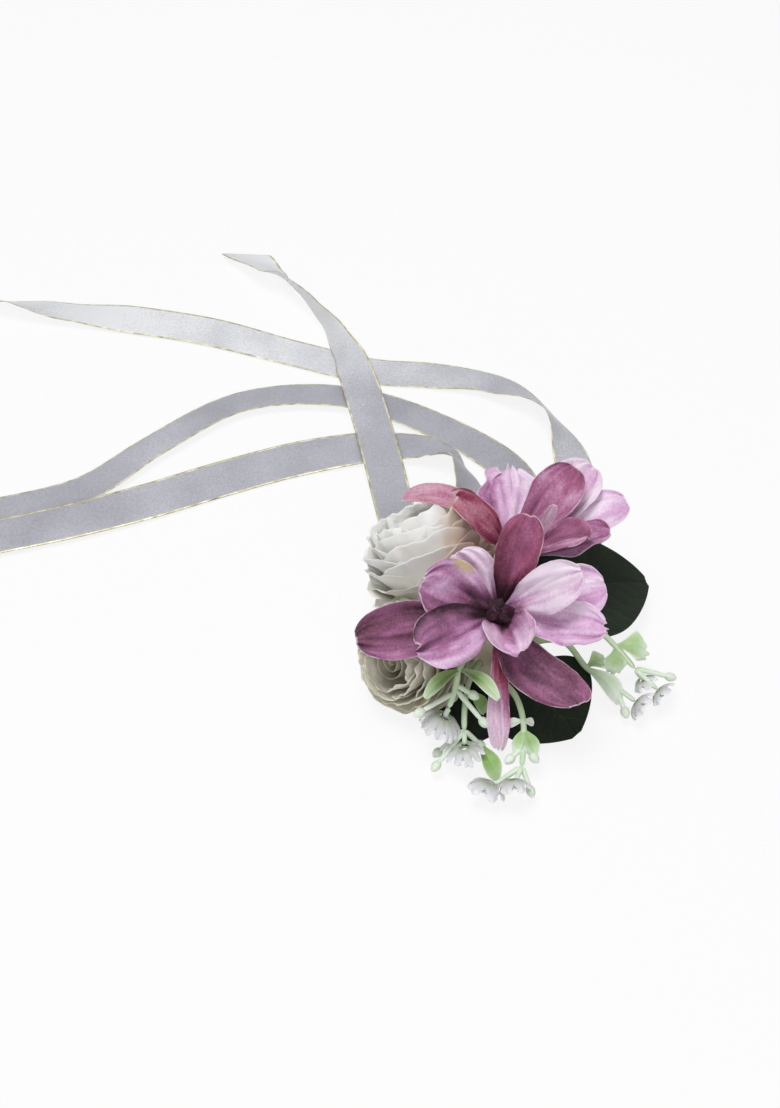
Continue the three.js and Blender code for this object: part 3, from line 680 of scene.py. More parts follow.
STACK_GAP = 0.3 * MM
BAND_THICK = 0.3 * MM
BAND_WALL = 0.1 * MM
FOLD_PAST_CENTRE = 3 * MM
LOWER_BAND_Z = FELT + STACK_GAP
UPPER_BAND_Z = LOWER_BAND_Z + BAND_THICK + STACK_GAP
COVER_Z = UPPER_BAND_Z + BAND_THICK + STACK_GAP
make_felt("felt_base_pad", 0)
make_felt("felt_cover_pad", COVER_Z)
OUTER_EXITS = (128, 35)
INNER_EXITS = (100, 60)
BAND_REACH = PAD_RADIUS + 1 * MM


def band_arm(heading, pair, z):
    """Fold and tip of a ribbon's arm between the discs, and its direction."""
    middle = math.radians(sum(pair) / 2)
    fold = around(-FOLD_PAST_CENTRE, middle, z)
    tip = around(BAND_REACH, math.radians(heading), z)
    return fold, tip, (tip - fold).normalized()


def make_band(name, pair, z):
    piece = Piece()
    for step, heading in enumerate(pair):
        fold, tip, along = band_arm(heading, pair, z + BAND_THICK * (0.25 + 0.5 * step))
        side = UP.cross(along) * RIBBON_WIDTH / 2

        def surface(u, v, fold=fold, tip=tip, side=side):
            return fold.lerp(tip, v) + side * u

        # the bands get a middling painted sheen
        piece.sheet(surface, *BAND_GRID, shine=0.5)
    made = piece.finish(name + "_cloth", [name], ORGANZA, thick=BAND_WALL, levels=0)


make_band("ribbon_outer_band", OUTER_EXITS, LOWER_BAND_Z)
make_band("ribbon_inner_band", INNER_EXITS, UPPER_BAND_Z)


# Ribbon tails
TAIL_STEPS = 8
TAIL_RUNS = (0.3, 5)


def tail_start(heading, pair, z):
    """First rows of a tail, which runs straight on from its band's arm."""
    _, tip, along = band_arm(heading, pair, z + BAND_THICK / 2)
    across = math.degrees(math.atan2(along.y, along.x)) - 90
    starts = [tip + along * run * MM for run in TAIL_RUNS]
    return [(*(p / MM), across, 0) for p in starts]


# How much painted sheen pales each tail at its start and at its end, how far its end is cut on the slant,
# and rows of x, y, z, the heading of the width and its tilt, in millimetres and degrees
TAILS = {
    "ribbon_tail_outer_left": (0.25, 1, 7.5 * MM, [
        *tail_start(OUTER_EXITS[0], OUTER_EXITS, LOWER_BAND_Z),
        (-18.5, 32, 2.2, 26, 0), (-22.6, 48, 4, 14, 0), (-27.6, 72, 5.8, 10, 4),
        (-32.6, 94, 5.8, 12, 10), (-36.2, 107, 6, 18, 30), (-40.9, 118.3, 6.8, 24, 66),
        (-48.5, 132.8, 7.4, 34, 98), (-59, 147.6, 7.2, 40, 117), (-65.8, 155, 6, 41, 150),
        (-75.5, 167.2, 3, 40, 178),
    ]),
    "ribbon_tail_outer_right": (0.45, 0.95, 4.5 * MM, [
        *tail_start(OUTER_EXITS[1], OUTER_EXITS, LOWER_BAND_Z),
        (27, 27, 1.2, -38, 0), (33.5, 46, 1, -14, 0), (32.2, 68, 2, 8, -8),
        (26, 87, 5.8, 25, -55), (9, 103.5, 2.4, 65, -14), (-12, 109, 0.9, 80, 0),
        (-30, 111, 0.7, 82, 0), (-55, 119, 0.8, 74, 0), (-85, 129, 1.6, 76, 8),
        (-110, 134.5, 1.8, 80, 8), (-135, 138.5, 2.2, 82, -14), (-158, 140.5, 5.2, 86, -46),
        (-174, 140, 3.2, 92, -22), (-190, 137, 1, 102, 0),
    ]),
    "ribbon_tail_inner_right": (0.35, 0.4, 4.5 * MM, [
        *tail_start(INNER_EXITS[1], INNER_EXITS, UPPER_BAND_Z),
        (14.5, 36, 1.4, -16, 0), (17, 52, 1, 0, 0), (12.5, 68, 0.8, 32, 0),
        (-12, 87.5, 1.4, 60, -6), (-40, 98.5, 2, 78, -11), (-72, 96, 2, 100, -13),
        (-98, 77, 2, 132, -12), (-117, 60, 1.4, 128, -6), (-142, 51, 0.8, 108, 0),
        (-160, 47.7, 0.8, 98, 0), (-170, 47, 0.8, 94, 0),
    ]),
    "ribbon_tail_inner_left": (0.45, 0.3, -4.5 * MM, [
        *tail_start(INNER_EXITS[0], INNER_EXITS, UPPER_BAND_Z),
        (-4.5, 38, 1, 4, 0), (0.3, 52, 1.4, 0, 0), (-1, 60.1, 4.8, 12, -45),
        (-3.7, 67.3, 5.6, 40, -58), (-9, 72.8, 4.2, 65, -26), (-15.1, 75.6, 3, 80, -10),
        (-22.9, 76.2, 2.6, 88, -3), (-31, 76, 2.4, 94, 6), (-53, 71, 2.4, 103, 16),
        (-76, 62.5, 2.6, 110, 18), (-97, 53.5, 3, 112, 16), (-118, 46, 3.1, 108, 12),
        (-140, 40, 2.8, 104, 8), (-158, 36, 2.4, 102, 0), (-167, 34.2, 2.2, 100, 0),
    ]),
}


def make_tail(name, near, far, end_slant, rows):
    line = smooth_line([at(*row[:3]) for row in rows], TAIL_STEPS)

    def surface(u, v):
        index, along = on_line(line, v)
        row = min(index // TAIL_STEPS, len(rows) - 2)
        share = index / TAIL_STEPS - row
        heading, tilt = (
            math.radians(rows[row][k] + (rows[row + 1][k] - rows[row][k]) * ease(share)) for k in (3, 4)
        )
        side = around(math.cos(tilt), heading, math.sin(tilt))
        side = (side - along * side.dot(along)).normalized()
        slant = end_slant * share if row == len(rows) - 2 else 0
        return line[index] + side * (u * RIBBON_WIDTH / 2) + along * (u * slant)

    piece = Piece()
    # painted sheen, changing from each tail's start to its end
    piece.sheet(
        surface, TAIL_COLUMNS, len(line) - 1,
        shine=lambda u, v: near + (far - near) * ease((v - 0.25) / 0.5),
    )
    made = piece.finish(name + "_cloth", [name], ORGANZA, thick=RIBBON_THICK)


for tail_name, tail in TAILS.items():
    make_tail(tail_name, *tail)


# Roses: rings of cupped petals whose edges overlap, round a bud wound from one strip. Each ring has
# layers at shares of the way to the next ring in, and each layer a count of petals, their spread and
# their turn in degrees. A petal climbs the ball from the foot to the reach, in degrees, and its rim
# flares. Steps in and up are shares of the rose's radius.
ROSE_RINGS = ("outer_petals", "middle_petals", "inner_petals")
ROSE_LAYERS = ((-0.33, 0.1, 0.55), (0, 0.5), (0, 0.5))
ROSE_PETALS = ((5, 108, 0), (5, 106, 36), (4, 124, 10))
ROSE_STEP_IN = 0.172
ROSE_STEP_UP = 0.2
ROSE_FOOT = 18
ROSE_REACHES = (66, 95, 121, 138)
ROSE_FLARES = (3.4 * MM, 2.2 * MM, 1 * MM, 0.4 * MM)
ROSE_INSET = 1 * MM
ROSE_LAYER_TURN = 51
ROSE_BUD_INSET = 1.6 * MM
ROSE_BUD_TURNS = 2.6
TABLE_CLEAR = 0.4 * MM


def rose_petal(place, radius, base, turn, reach, spread, flare, frill, seed):
    lean = 0.055 * radius

    def surface(u, v):
        top = reach * (1 - 0.13 * abs(u) ** 3)
        climb = math.radians(ROSE_FOOT + (top - ROSE_FOOT) * v)
        across = math.radians(turn + spread / 2 * u * (0.62 + 0.38 * math.sin(math.pi / 2 * v)))
        free = ease((v - 0.5) / 0.5)
        rim = ease((v - 0.78) / 0.22)
        out = radius * math.sin(climb) + lean * u + flare * v ** 4
        out += radius * free * (0.06 * rough(u * 2.2, v, seed) + 0.03 * rough(u * 6, v * 2, seed + 3))
        out += radius * rim * frill * (0.5 + rough(u * 4.5, seed + 13))
        out += 0.012 * radius * v * math.sin(7 * u + seed)
        z = base + ROSE_STRETCH * radius * (1 - math.cos(climb))
        z += radius * free * 0.05 * rough(u * 2.7 + 9, seed)
        z += radius * rim * frill * (0.9 * rough(u * 5.2, seed + 7) - 0.5 * abs(rough(u * 11, seed + 9)))
        point = place @ around(out, across, z)
        point.z = max(point.z, TABLE_CLEAR)
        return point

    return surface


def make_rose(name, radius, centre, axis, turn, depth, reflected_peach):
    """Three rings of two layers each and a low one outside, every layer smaller and taller than the
    one round it, and the bud."""
    direction = axis.normalized()
    place = standing(centre - direction * radius, direction)
    step = ROSE_STEP_IN * radius
    rise = ROSE_STEP_UP * radius
    for ring, part in enumerate(ROSE_RINGS):
        piece = Piece()
        count, spread, start = ROSE_PETALS[ring]
        for layer, share in enumerate(ROSE_LAYERS[ring]):
            inwards = ring + share
            reach, flare = (
                row[ring] + (row[ring + 1] - row[ring]) * share for row in (ROSE_REACHES, ROSE_FLARES)
            )
            for k in range(count):
                angle = turn + start + 360 * k / count + ROSE_LAYER_TURN * layer
                seed = ring * 31 + layer * 11 + k * 3.7 + turn
                surface = rose_petal(
                    place, radius - ROSE_INSET - inwards * step, inwards * rise, angle,
                    reach + 6 * rough(seed * 1.3), spread, flare, 0.06 + 0.05 * ring, seed,
                )
                piece.sheet(
                    surface, *ROSE_GRID, depth=depth + 0.1 * (1 - inwards),
                    # warmth here carries the painted peach reflection
                    warmth=lambda u, v, surface=surface: reflected_peach(surface(u, v)),
                )
        piece.finish(f"{name}_{part}_cloth", [f"{name}_{part}"], ROSE_CLOTH,
                     thick=ROSE_PETAL_THICK)
    bud = Piece()
    size = radius - ROSE_BUD_INSET - len(ROSE_RINGS) * step
    base = len(ROSE_RINGS) * rise

    def wound(u, v):
        share = (u + 1) / 2
        angle = math.radians(turn) + share * ROSE_BUD_TURNS * 2 * math.pi
        belly = 0.42 + 0.58 * math.sin(math.pi * (0.12 + 0.62 * v))
        out = size * (1 - 0.9 * share) * belly + 0.12 * size * ease((v - 0.7) / 0.3) * (1 - share)
        height = size * (2.45 - 0.25 * share) * v + 0.06 * size * v * math.sin(angle * 1.7)
        return place @ around(out, angle, base + height)

    bud.sheet(wound, *ROSE_BUD_GRID, depth=depth + 0.15, warmth=0.0)
    bud.finish(f"{name}_bud_cloth", [f"{name}_bud"], ROSE_CLOTH, thick=ROSE_PETAL_THICK)


def back_rose_reflection(point):
    """Share of painted peach reflection from the rear blossom, on the side of the back rose that leans on
    it.
    """
    return 0.9 * ease((point.x + 13 * MM) / (6 * MM))


make_rose("back_rose", 17 * MM, at(-15, 18, 25), Vector((-0.4, 0.6, 0.7)), 20, 0.11, back_rose_reflection)
# The front rose's deeper colour is painted shade: it lies in the shade of the front blossom.
make_rose(
    "front_rose", 14 * MM, at(-20.3, -12.4, 16.9), Vector((-0.62, -0.6, 0.5)), 50, 0.62,
    lambda point: 0.0,
)


# Blossoms: tiers of petals on a hub
OUTLINE_WIDEST = 0.66
OUTLINE_CLAW = 0.24
PLAIN_LOOK = {
    "lean": 0, "root": 0.5, "reach": 0.4, "warmth": 0, "shine": 0, "crumple": 1, "ragged": 0, "folds": (),
}


def petal(turn, opening, curl, long, wide, cup, roll=0, sway=0, **look):
    """A petal's shape, as in the frame, and its look: depth of dye from pale 0 to plum 1, how far painted
    light and shade lean from one edge to the other, how much deeper the root is, as dye and painted shade
    together, and how far that reaches, warmth from lilac 0 to coral 1, a bleached patch, how crumpled and
    ragged it is, and sharp folds of where they start and end across, height in millimetres and width."""
    return (turn, opening, curl, long, wide, cup, roll, sway), {**PLAIN_LOOK, **look}


def petal_outline(v):
    share = v / OUTLINE_WIDEST
    if share < 1:
        return OUTLINE_CLAW + (1 - OUTLINE_CLAW) * math.sin(math.pi / 2 * share) ** 1.2
    past = (v - OUTLINE_WIDEST) / (1.012 - OUTLINE_WIDEST)
    return math.sqrt(max(0.02, 1 - past ** 2.8))


def petal_folds(wide, look, seed):
    """Height of a petal's soft and crisp crumples and of its folds, which run from root to tip."""
    crumple = look["crumple"] * min(1, wide)

    def height(u, v):
        soft = rough(u * 1.7, v * 1.2, seed + 5) + 0.4 - 1.5 * abs(rough(u * 2.6, v * 1.3, seed + 11))
        fine = 0.24 * rough(u * 6, v * 5, seed + 8)
        crisp = 0.2 - 0.8 * abs(rough(u * 4.5 + v, v * 1.5, seed + 31))
        total = crumple * (1.15 * soft + fine + crisp)
        for start, end, rise, width in look["folds"]:
            total += rise * math.exp(-abs(u - start - (end - start) * v) / width)
        return total * ease(v / 0.4) * MM

    return height


def petal_dye_and_shade(look, folds):
    """Depth of colour: the dye, deeper at the root as dye and painted shade together, with painted shade
    in the hollows, painted highlights on the ridges and painted light and shade leaning to one edge.
    """
    depth, lean, root, reach = (look[key] for key in ("depth", "lean", "root", "reach"))

    def dye_and_shade(u, v):
        return (
            depth + lean * math.tanh(2.2 * u) + root * (1 - ease(v / reach))
            # painted highlight on the ridges of the folds and painted shade in their hollows
            - 0.17 * min(1, folds(u, v) / MM)
        )

    return dye_and_shade


def blossom_petal(place, height, row, folds, ragged, seed):
    turn, opening, curl, long, wide, cup, roll, sway = row
    heading = math.radians(turn)
    out = around(1, heading)
    side = Vector((-out.y, out.x, 0))
    length = PETAL_LENGTH * long
    lay = math.radians(roll)

    def surface(u, v):
        angle = math.radians(opening + curl * v)
        mean = math.radians(opening + curl * v / 2)
        half = math.radians(curl * v / 2)
        chord = length * v * (math.sin(half) / half if abs(half) > 1e-6 else 1)
        inward = UP * math.sin(angle) - out * math.cos(angle)
        uneven = 1 + (0.14 * rough(v * 2.6, u, seed + 21) + ragged * rough(v * 7, u, seed + 2)) * abs(u)
        width = PETAL_WIDTH / 2 * wide * petal_outline(v) * uneven
        across = side * math.cos(lay) + inward * math.sin(lay)
        lift = inward * math.cos(lay) - side * math.sin(lay)
        ruffle = width * abs(u) ** 3 * ease(v / 0.4) * rough(v * 3.2 + 2 * u, seed) * 0.42
        crease = -0.3 * MM * math.exp(-abs(u) / 0.1) * math.sin(math.pi * v)
        pleats = 0.2 * MM * math.sin(u * 8 + seed) * (1 - ease(v / 0.75))
        tip = -0.8 * MM * ease((v - 0.78) / 0.22) * (0.3 + rough(seed * 1.7, u * 1.4))
        torn = 1 + ragged * 0.5 * rough(u * 4, seed + 4) * ease((v - 0.6) / 0.4)
        fray = 1 + 0.03 * rough(v * 22, u * 3, seed) * abs(u) ** 6
        return place @ (
            out * (HUB_RADIUS * 0.7 + torn * chord * math.sin(mean))
            + UP * (height + torn * chord * math.cos(mean))
            + side * (sway * length * v * v)
            + across * (u * width * fray)
            + lift * (cup * width * u * u + ruffle + crease + pleats + folds(u, v) + tip)
        )

    return surface


def make_blossom(name, centre, axis, tiers):
    place = standing(centre, axis)
    for level, (part, petals) in enumerate(tiers.items()):
        height = (level - 1) * TIER_STEP
        piece = Piece()
        for k, (row, look) in enumerate(petals):
            seed = level * 17 + k * 5.3 + len(name)
            folds = petal_folds(row[4], look, seed)
            piece.sheet(
                blossom_petal(place, height, row, folds, look["ragged"], seed), *PETAL_GRID,
                depth=petal_dye_and_shade(look, folds), warmth=look["warmth"], shine=look["shine"],
            )
        piece.finish(f"{name}_{part}_cloth", [f"{name}_{part}"], MAUVE_CLOTH,
                     thick=PETAL_THICK)


def bleached_corner(u, v):
    """Small yellowish patch on one edge of a petal, past its middle."""
    return 0.85 * ease((-u - 0.62) / 0.3) * ease((v - 0.45) / 0.1) * (1 - ease((v - 0.66) / 0.12))


def bleached_middle(u, v):
    """Cream patch halfway along a petal."""
    return 0.6 * ease((v - 0.42) / 0.08) * (1 - ease((v - 0.52) / 0.08))


def shaded_red_root(u, v):
    """Red up to a third of a petal's length, fading past it: painted shade with a red cast where the
    petal lies under the others.
    """
    return 0.95 - 0.6 * ease((v - 0.35) / 0.3)


def inner_petals(turn):
    """Three small petals that bend over the stamen, near-black plum as painted shade in the blossom's
    centre.
    """
    look = {"depth": 1.05, "warmth": 0.3, "root": 0.2, "crumple": 0.3, "ragged": 0.3}
    return [petal(turn + 120 * k, 24 - 6 * k, -74, 0.34, 0.42, 0.3, **look) for k in range(3)]


make_blossom("front_blossom", at(3.3, -8.9, 32.6), Vector((-0.03, -0.52, 0.85)), {
    "lower_petals": [
        petal(
            191, 70, 14, 1.32, 0.84, 0.15, depth=0.79, warmth=0.25, lean=-0.08, root=0.2, crumple=1.4,
        ),
        petal(287, 62, 14, 1.02, 0.85, 0.2, 0, 0.42, depth=0.73, warmth=0.2, root=0.2, crumple=0.8),
        # This petal's deep root, which reaches its whole length, and its red root are painted shade where
        # it lies under the petals above.
        petal(
            270, 80, 42, 1.24, 0.34, 0.5, depth=0.1, warmth=shaded_red_root, lean=0.16, root=0.8, reach=1,
            crumple=0.8, ragged=0.1, folds=((-0.5, 0.6, 1.2, 0.15),),
        ),
        petal(13, 62, 8, 1, 0.85, 0.15, depth=0.27, crumple=1.3),
        petal(
            127, 51, 12, 0.71, 0.75, 0.3, depth=0.13, warmth=0.15, crumple=1.7, root=0.6,
            folds=((-0.5, -0.35, 1.6, 0.12), (0.05, 0.2, 1.8, 0.12), (0.6, 0.7, 0.8, 0.12)),
        ),
    ],
    "middle_petals": [
        petal(
            349, 50, 12, 1.04, 0.66, 0.25, depth=0.26, warmth=0.1, lean=-0.06, root=0.35, crumple=1.3,
            ragged=0.15, folds=((-0.2, -0.5, 0.8, 0.15),),
        ),
        petal(
            73, 46, 12, 1.02, 0.64, 0.25, depth=0.63, warmth=0.5, lean=0.06, root=0.5, reach=0.55,
            crumple=0.6,
        ),
        petal(
            163, 42, 16, 0.9, 0.98, 0.28, depth=0.52, warmth=0.12, lean=0.1, root=0.4, reach=0.55,
            crumple=1.3, shine=bleached_corner,
        ),
    ],
    "upper_petals": [
        petal(
            23, 36, 16, 0.98, 0.7, 0.2, depth=0.02, warmth=0.15, lean=-0.06, root=0.5, reach=0.5,
            crumple=0.9, folds=((-0.35, -0.5, -0.7, 0.1),),
        ),
        petal(
            292, 18, 34, 0.62, 0.75, 0.62, depth=0.23, warmth=0.2, root=0.8, reach=0.6, crumple=1.4,
            folds=((-0.3, -0.5, -1.2, 0.15),),
        ),
        *inner_petals(160),
        petal(
            207, 40, 20, 1.02, 0.92, 0.2, depth=0.62, lean=-0.31, root=0.2, crumple=1.8,
            folds=((0.1, -0.25, 2.8, 0.18),),
        ),
    ],
})
make_blossom("rear_blossom", at(8.5, 13, 29.5), Vector((0.2, 0.05, 0.98)), {
    "lower_petals": [
        petal(18, 50, 10, 1.19, 0.8, 0.15, depth=0.2, crumple=1.3, root=0.5, reach=0.45),
        petal(
            92, 72, 10, 0.96, 1.05, 0.2, depth=0.26, lean=0.08, crumple=1.9, root=0.6, reach=0.5,
            ragged=0.25, folds=((0.1, -0.3, 1.6, 0.1), (-0.2, 0.4, -1.4, 0.12)),
        ),
    ],
    "middle_petals": [
        petal(44, 46, 10, 1.1, 0.85, 0.2, depth=0.16, warmth=0.15, crumple=1.3, root=0.5),
        petal(
            148, 40, 98, 1.31, 0.37, 0.15, -20, 0.12, depth=0.31, warmth=0.68, root=0, crumple=0.5,
            shine=bleached_middle,
        ),
        petal(354, 46, 10, 0.92, 0.72, 0.2, depth=0.46, warmth=0.2, lean=0.1, crumple=1.2, root=0.7),
    ],
    "upper_petals": [
        petal(48, 34, 10, 0.93, 0.8, 0.2, depth=0.58, warmth=0.4, lean=0.05, crumple=0.9, root=0.6),
        petal(326, 32, 10, 0.86, 0.72, 0.2, depth=0.54, warmth=0.35, lean=0.08, crumple=1.2, root=0.6),
        petal(
            182, 42, 14, 0.93, 0.8, 0.15, -8, depth=0.62, warmth=1.3, crumple=1.5,
            folds=((-0.3, -0.5, 1.6, 0.1), (0.3, 0.2, 1.6, 0.1)),
        ),
        petal(340, 18, -20, 0.74, 0.18, 0.3, 70, depth=0.2, warmth=0.4, root=0.1, crumple=0.3),
        *inner_petals(100),
    ],
})


# Leaves: foot of the stalk, base, crown and tip of the rib's curve, share of width and fold
def make_leaf(name, foot, base, crown, tip, wide, fold):
    def rib(t):
        return base * (1 - t) ** 2 + crown * (2 * t * (1 - t)) + tip * t ** 2

    def surface(u, v):
        t = 0.02 + 0.97 * v
        along = ((crown - base) * (1 - t) + (tip - crown) * t).normalized()
        side = along.cross(UP).normalized()
        rise = side.cross(along)
        width = LEAF_WIDTH / 2 * wide * max(0.1, math.sin(math.pi * t ** 0.9) ** 0.72)
        vein = abs(math.sin(math.pi * (LEAF_VEINS * v - VEIN_SLANT * abs(u))))
        relief = 0.25 * MM * (1 - vein) ** 2 * (1 - abs(u) ** 4) + 0.5 * MM * math.exp(-(u / 0.05) ** 2)
        wave = 0.7 * MM * abs(u) ** 2 * rough(v * 2.7, u * 1.3, len(name))
        return rib(t) + side * (u * width) + rise * (fold * width * abs(u) ** 1.3 - relief + wave)

    piece = Piece()
    piece.sheet(surface, *LEAF_GRID)
    piece.tube([foot, foot.lerp(base, 0.6), rib(0.12)], lambda v: (1 - 0.3 * v) * MM)
    piece.finish(name + "_cloth", [name], LEAF_CLOTH, thick=LEAF_THICK)


make_leaf("leaf_right", at(9, 4, 7), at(14, 7, 9), at(30, 16, 14), at(48.5, 20, 7), 1.05, 0.1)
make_leaf(
    "leaf_front_right", at(6.5, -7.5, 6.6), at(9, -11.5, 7), at(17, -19, 8.2), at(25, -27.5, 3),
    0.94, 0.08,
)
make_leaf(
    "leaf_front_left", at(-1, -8.5, 6.5), at(-1.6, -13.6, 6.2), at(-3, -21, 6), at(-5.5, -30, 1.6),
    0.6, 0.06,
)
make_leaf("leaf_rear", at(6, 9, 7), at(8, 16, 11), at(13, 30, 20), at(18, 46, 13), 0.8, 0.1)


# Sprigs: the main stem's route, twigs to buds, leaves of base, tip, half width, depth of green and
# whether they are fans, and florets of name, twig's start, centre, scale, count of petals, how far they
# close and where they face, if not along the twig
def round_stem(thick, thin):
    return lambda v: (thick + (thin - thick) * v) * (0.05 if v > 0.999 or v < 0.001 else 1)


def add_bud(piece, point, along):
    shape = ((0.35, -1.2), (0.8, -0.8), (1, -0.2), (0.95, 0.4), (0.7, 0.95), (0.3, 1.3), (0.02, 1.4))
    place = standing(point, along)
    last = len(shape) - 1

    def surface(u, v):
        wide, high = shape[round(v * last)]
        ribs = 1 + 0.06 * math.cos(5 * math.pi * u)
        return place @ (around(wide * ribs, math.pi * u, high) * BUD_RADIUS)

    verts = piece.sheet(surface, BUD_SIDES, last, depth=lambda u, v: 0.4 - 0.45 * v)
    bmesh.ops.remove_doubles(piece.bm, verts=verts, dist=WELD)


def add_sprig_leaf(piece, base, tip, wide, depth, fan):
    """Small leaf with a rib and a blunt end, or a pleated fan with three lobes at its end."""
    run = tip - base
    side = run.cross(UP).normalized()
    arch = side.cross(run).normalized()

    def surface(u, v):
        width = wide * max(0.12, math.sin(math.pi * (0.04 + 0.88 * v ** 1.4)) ** 0.8)
        reach = v
        rib = -0.25 * MM * math.exp(-(u / 0.15) ** 2)
        if fan:
            width = wide * (0.14 + 0.98 * ease(v / 0.75) - 0.3 * ease((v - 0.75) / 0.25))
            reach = v * (1 - 0.24 * v * u * u + 0.07 * v * math.cos(3 * math.pi * u))
            pleats = 0.22 * MM * math.cos(5 * math.pi * u)
            rib = pleats * v + 0.4 * MM * v * rough(u * 2, v * 3, wide * 900)
        return base + run * reach + side * (u * width) + arch * (
            0.2 * run.length * math.sin(math.pi * v) + 0.3 * width * u * u + rib
        )

    return piece.sheet(
        surface, *SPRIG_LEAF_GRID,
        depth=lambda u, v: depth - 0.5 * ease((v - 0.45) / 0.55) - 0.35 * abs(u) ** 5,
    )


FLORET_SHUT_FROM = 95
FLORET_SLIT_OPEN = 0.42
FLORET_SLIT_SHUT = 0.24


def make_floret(name, centre, face, scale, petals, close):
    """Two domes of crumpled petals joined over the peg, one in the other, parted by slits at the rim;
    close is how far they bend."""
    place = standing(centre, face)
    slit = FLORET_SLIT_OPEN if close < FLORET_SHUT_FROM else FLORET_SLIT_SHUT
    piece = Piece()
    for inner in (0, 1):
        size = FLORET_RADIUS * scale * (1 - 0.34 * inner)
        for k in range(petals):
            def surface(u, v, k=k, size=size, inner=inner):
                loose = ease((v - 0.4) / 0.5)
                width = 1.06 - slit * ease((v - 0.3) / 0.5) * (1 - 0.5 * ease((v - 0.7) / 0.3))
                angle = 2 * math.pi * (k + 0.5 * inner + 0.5 * u * width) / petals
                round_end = 1 - 0.26 * u * u * loose
                bend = math.radians(10 + (close * (1 - 0.2 * inner) - 10) * v * round_end)
                ruffle = loose * (0.07 * math.sin(5 * u + k * 2.1) + 0.06 * (-1) ** k)
                lump = 0.09 * rough(u * 2 + k * 3.1, v * 3, scale * 50 + inner)
                out = size * (0.1 + 0.95 * math.sin(bend) + ruffle + lump * v)
                high = size * (-0.5 + 0.85 * (1 - math.cos(bend)) - 0.12 * (1 - u * u) * v + lump * v)
                return place @ around(out, angle, high + FLORET_NEST * inner)

            piece.sheet(surface, *FLORET_GRID, depth=0.0)
    piece.finish(name + "_petals", [name], FLORET_PLASTIC, thick=FLORET_THICK)


def make_sprig(name, route, buds, leaves, florets):
    stems = Piece()
    main = round_stem(SPRIG_STEM, SPRIG_STEM * 0.8)
    stems.tube(route, main, depth=lambda u, v: 0.75 - 0.35 * v)
    twig = round_stem(SPRIG_STEM * 0.8, SPRIG_STEM * 0.7)
    for start, end in buds:
        stems.tube([start, start.lerp(end, 0.5), end], twig, steps=4, depth=lambda u, v: 0.4 - 0.3 * v)
        add_bud(stems, end, end - start)
    for floret, start, centre, scale, petals, close, *face in florets:
        toward = (centre - start).normalized()
        stop = centre - toward * 0.5 * FLORET_RADIUS * scale
        stems.tube([start, start.lerp(stop, 0.5), stop], twig, steps=4, depth=0.3)
        make_floret(floret, centre, *(face or [toward]), scale, petals, close)
    for base, tip, wide, depth, *fan in leaves:
        verts = add_sprig_leaf(stems, base, tip, wide * MM, depth, bool(fan))
        faces = list({f for v in verts for f in v.link_faces})
        bmesh.ops.solidify(stems.bm, geom=faces, thickness=SPRIG_LEAF_THICK)
    stems.finish(name + "_plastic", [name], SPRIG_PLASTIC)


make_sprig(
    "sprig_front_left",
    [
        at(-2.5, -6.5, 7), at(-4.1, -12.8, 18.2), at(-6.6, -19.7, 24), at(-8.1, -24.7, 20),
        at(-9.4, -27.3, 16.5),
    ],
    [
        (at(-8.1, -24.8, 20), at(-17, -30.5, 19.5)),
        (at(-7.8, -24.2, 20.6), at(-0.5, -30, 14)),
        (at(-7.6, -23.4, 21.4), at(-3.2, -25, 19)),
    ],
    [
        (at(-6.8, -20.4, 23.8), at(-15.8, -28.6, 23.4), 1.9, 1),
        (at(-6.6, -20.2, 23.8), at(3, -28.6, 22.6), 2.1, 0.9),
    ],
    [("floret_front_left", at(-9.4, -27.3, 16.5), at(-11.3, -29.4, 12), 1, 11, 100)],
)
make_sprig(
    "sprig_front_middle",
    [at(0, -7.5, 7), at(-1.5, -13, 14), at(-4, -19.5, 16.5), at(-5.2, -26, 13.5), at(-5.3, -30.4, 10)],
    [
        (at(-5.3, -29.8, 10.4), at(-12, -32.4, 2.6)),
        (at(-5.3, -30.2, 10.1), at(-12.6, -37.7, 5)),
        (at(-5.3, -30, 10.2), at(-0.8, -31, 4.2)),
    ],
    [
        (at(-1, -30.9, 4.4), at(3.2, -39.6, 1.2), 2.5, 1.1),
        (at(-4.4, -21.5, 16), at(0.2, -25.8, 11.5), 2, 1.2),
    ],
    [(
        "floret_front_middle", at(-5.3, -30.4, 10), at(-5.1, -35.2, 7), 0.92, 9, 84,
        Vector((0.15, -0.4, -1)),
    )],
)
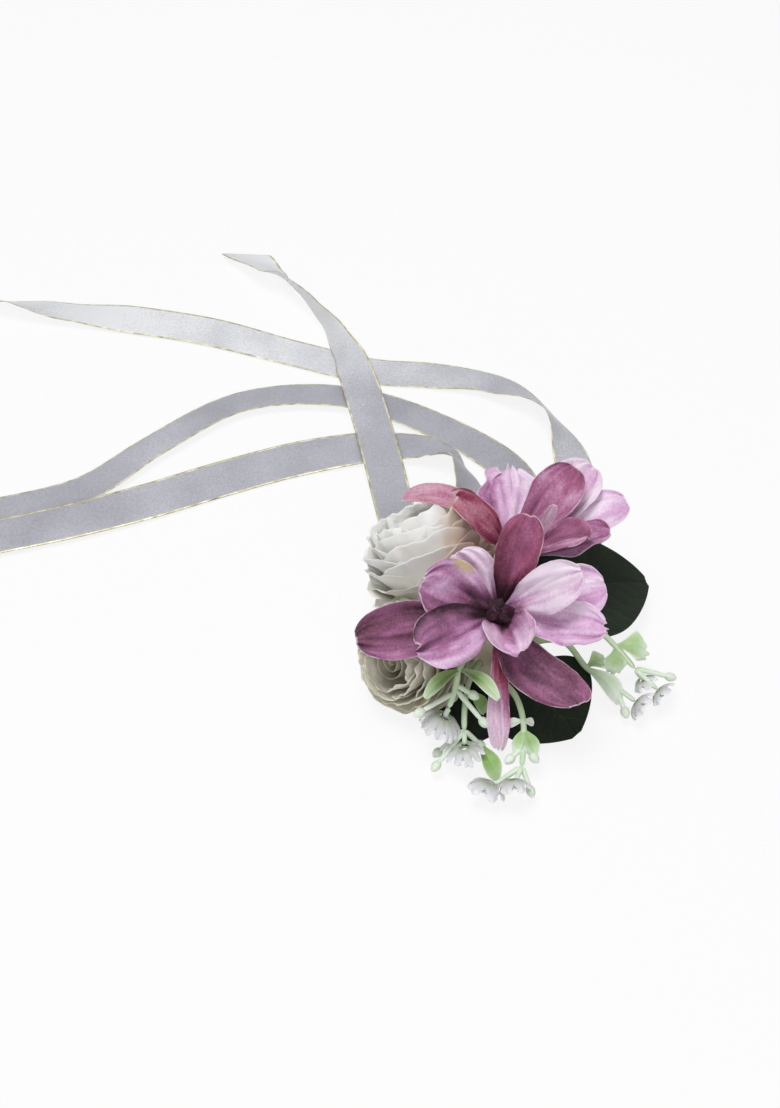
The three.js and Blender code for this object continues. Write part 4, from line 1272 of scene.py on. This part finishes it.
make_sprig(
    "sprig_front_right",
    [
        at(4, -7.5, 7), at(3.4, -13, 14), at(3.8, -19, 18), at(7.8, -23.1, 16),
        at(9.8, -28.5, 13), at(9.7, -34.5, 10), at(9.3, -39.4, 7.5),
    ],
    [
        (at(9.7, -34.8, 9.9), at(6.3, -37.6, 8.5)),
        (at(9.7, -34.4, 10.1), at(12.4, -37.2, 8.5)),
        (at(9.3, -39.2, 7.6), at(11.4, -44.6, 4.5)),
    ],
    [
        (at(9.8, -28.9, 12.9), at(5.6, -30, 12), 1.3, 0.3),
        (at(9.8, -28.9, 12.9), at(12.6, -29.6, 12.4), 1.2, 0.3),
        (at(9.8, -30.8, 12), at(7.6, -35.9, 9), 1.5, 0.8),
        (at(9.8, -30.8, 12), at(12.8, -36.6, 8.8), 1.9, 0.9),
    ],
    [
        (
            "floret_front_low", at(9.3, -39.2, 7.6), at(0, -45, 5.7), 0.92, 5, 88,
            Vector((-0.4, -0.6, -0.75)),
        ),
        (
            "floret_front_right", at(9.3, -39.2, 7.6), at(6.6, -45.7, 8.5), 0.8, 6, 92,
            Vector((0.1, -0.75, -0.6)),
        ),
    ],
)
make_sprig(
    "sprig_side_upper",
    [at(10.5, -3, 7), at(20, -1.5, 14), at(30.2, -0.8, 14.5), at(35.7, -6.1, 13.5), at(41, -11.6, 10.5)],
    [(at(40.8, -11.3, 10.7), at(50.4, -12.7, 8.5))],
    [
        (at(35.7, -6.1, 13.5), at(44.6, -7.6, 12), 4.2, 0.8, "fan"),
        (at(35.7, -6.4, 13.4), at(35.1, -12.4, 9.5), 3, 0.8, "fan"),
    ],
    [
        ("floret_side_upper", at(41, -11.6, 10.5), at(43.9, -13.6, 6.6), 0.6, 5, 85),
        ("floret_side_far", at(41, -11.6, 10.5), at(48.4, -17.2, 6.6), 0.75, 5, 80),
    ],
)
make_sprig(
    "sprig_side_lower",
    [
        at(9, -6.5, 7), at(15, -3.8, 12), at(22.4, -3.8, 12), at(28.2, -10.9, 10),
        at(32.3, -13.4, 9), at(36.1, -15.4, 7.5),
    ],
    [(at(35.8, -15.2, 7.6), at(38, -21.2, 4.5))],
    [
        (at(28, -10.6, 10.1), at(33.8, -8.4, 10.5), 2.8, 0.8, "fan"),
        (at(28.2, -10.9, 10), at(36.8, -18.6, 5), 3, 0.5),
    ],
    [("floret_side_lower", at(36.1, -15.4, 7.5), at(42.6, -19.8, 5), 0.8, 6, 90)],
)


# Rigid pieces that keep their solids get their finishes
FLOWERS = ("back_rose", "front_rose", "front_blossom", "rear_blossom")
RIGID_FINISHES = {
    "glue_mound": HOT_GLUE,
    "front_blossom_stamen": STAMEN_FLOCK,
    "rear_blossom_stamen": STAMEN_FLOCK,
    **{flower + "_stem": STEM_PLASTIC for flower in FLOWERS},
}
for node_name, node_finish in RIGID_FINISHES.items():
    node_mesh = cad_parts[node_name].data
    node_mesh.materials.clear()
    node_mesh.materials.append(node_finish)
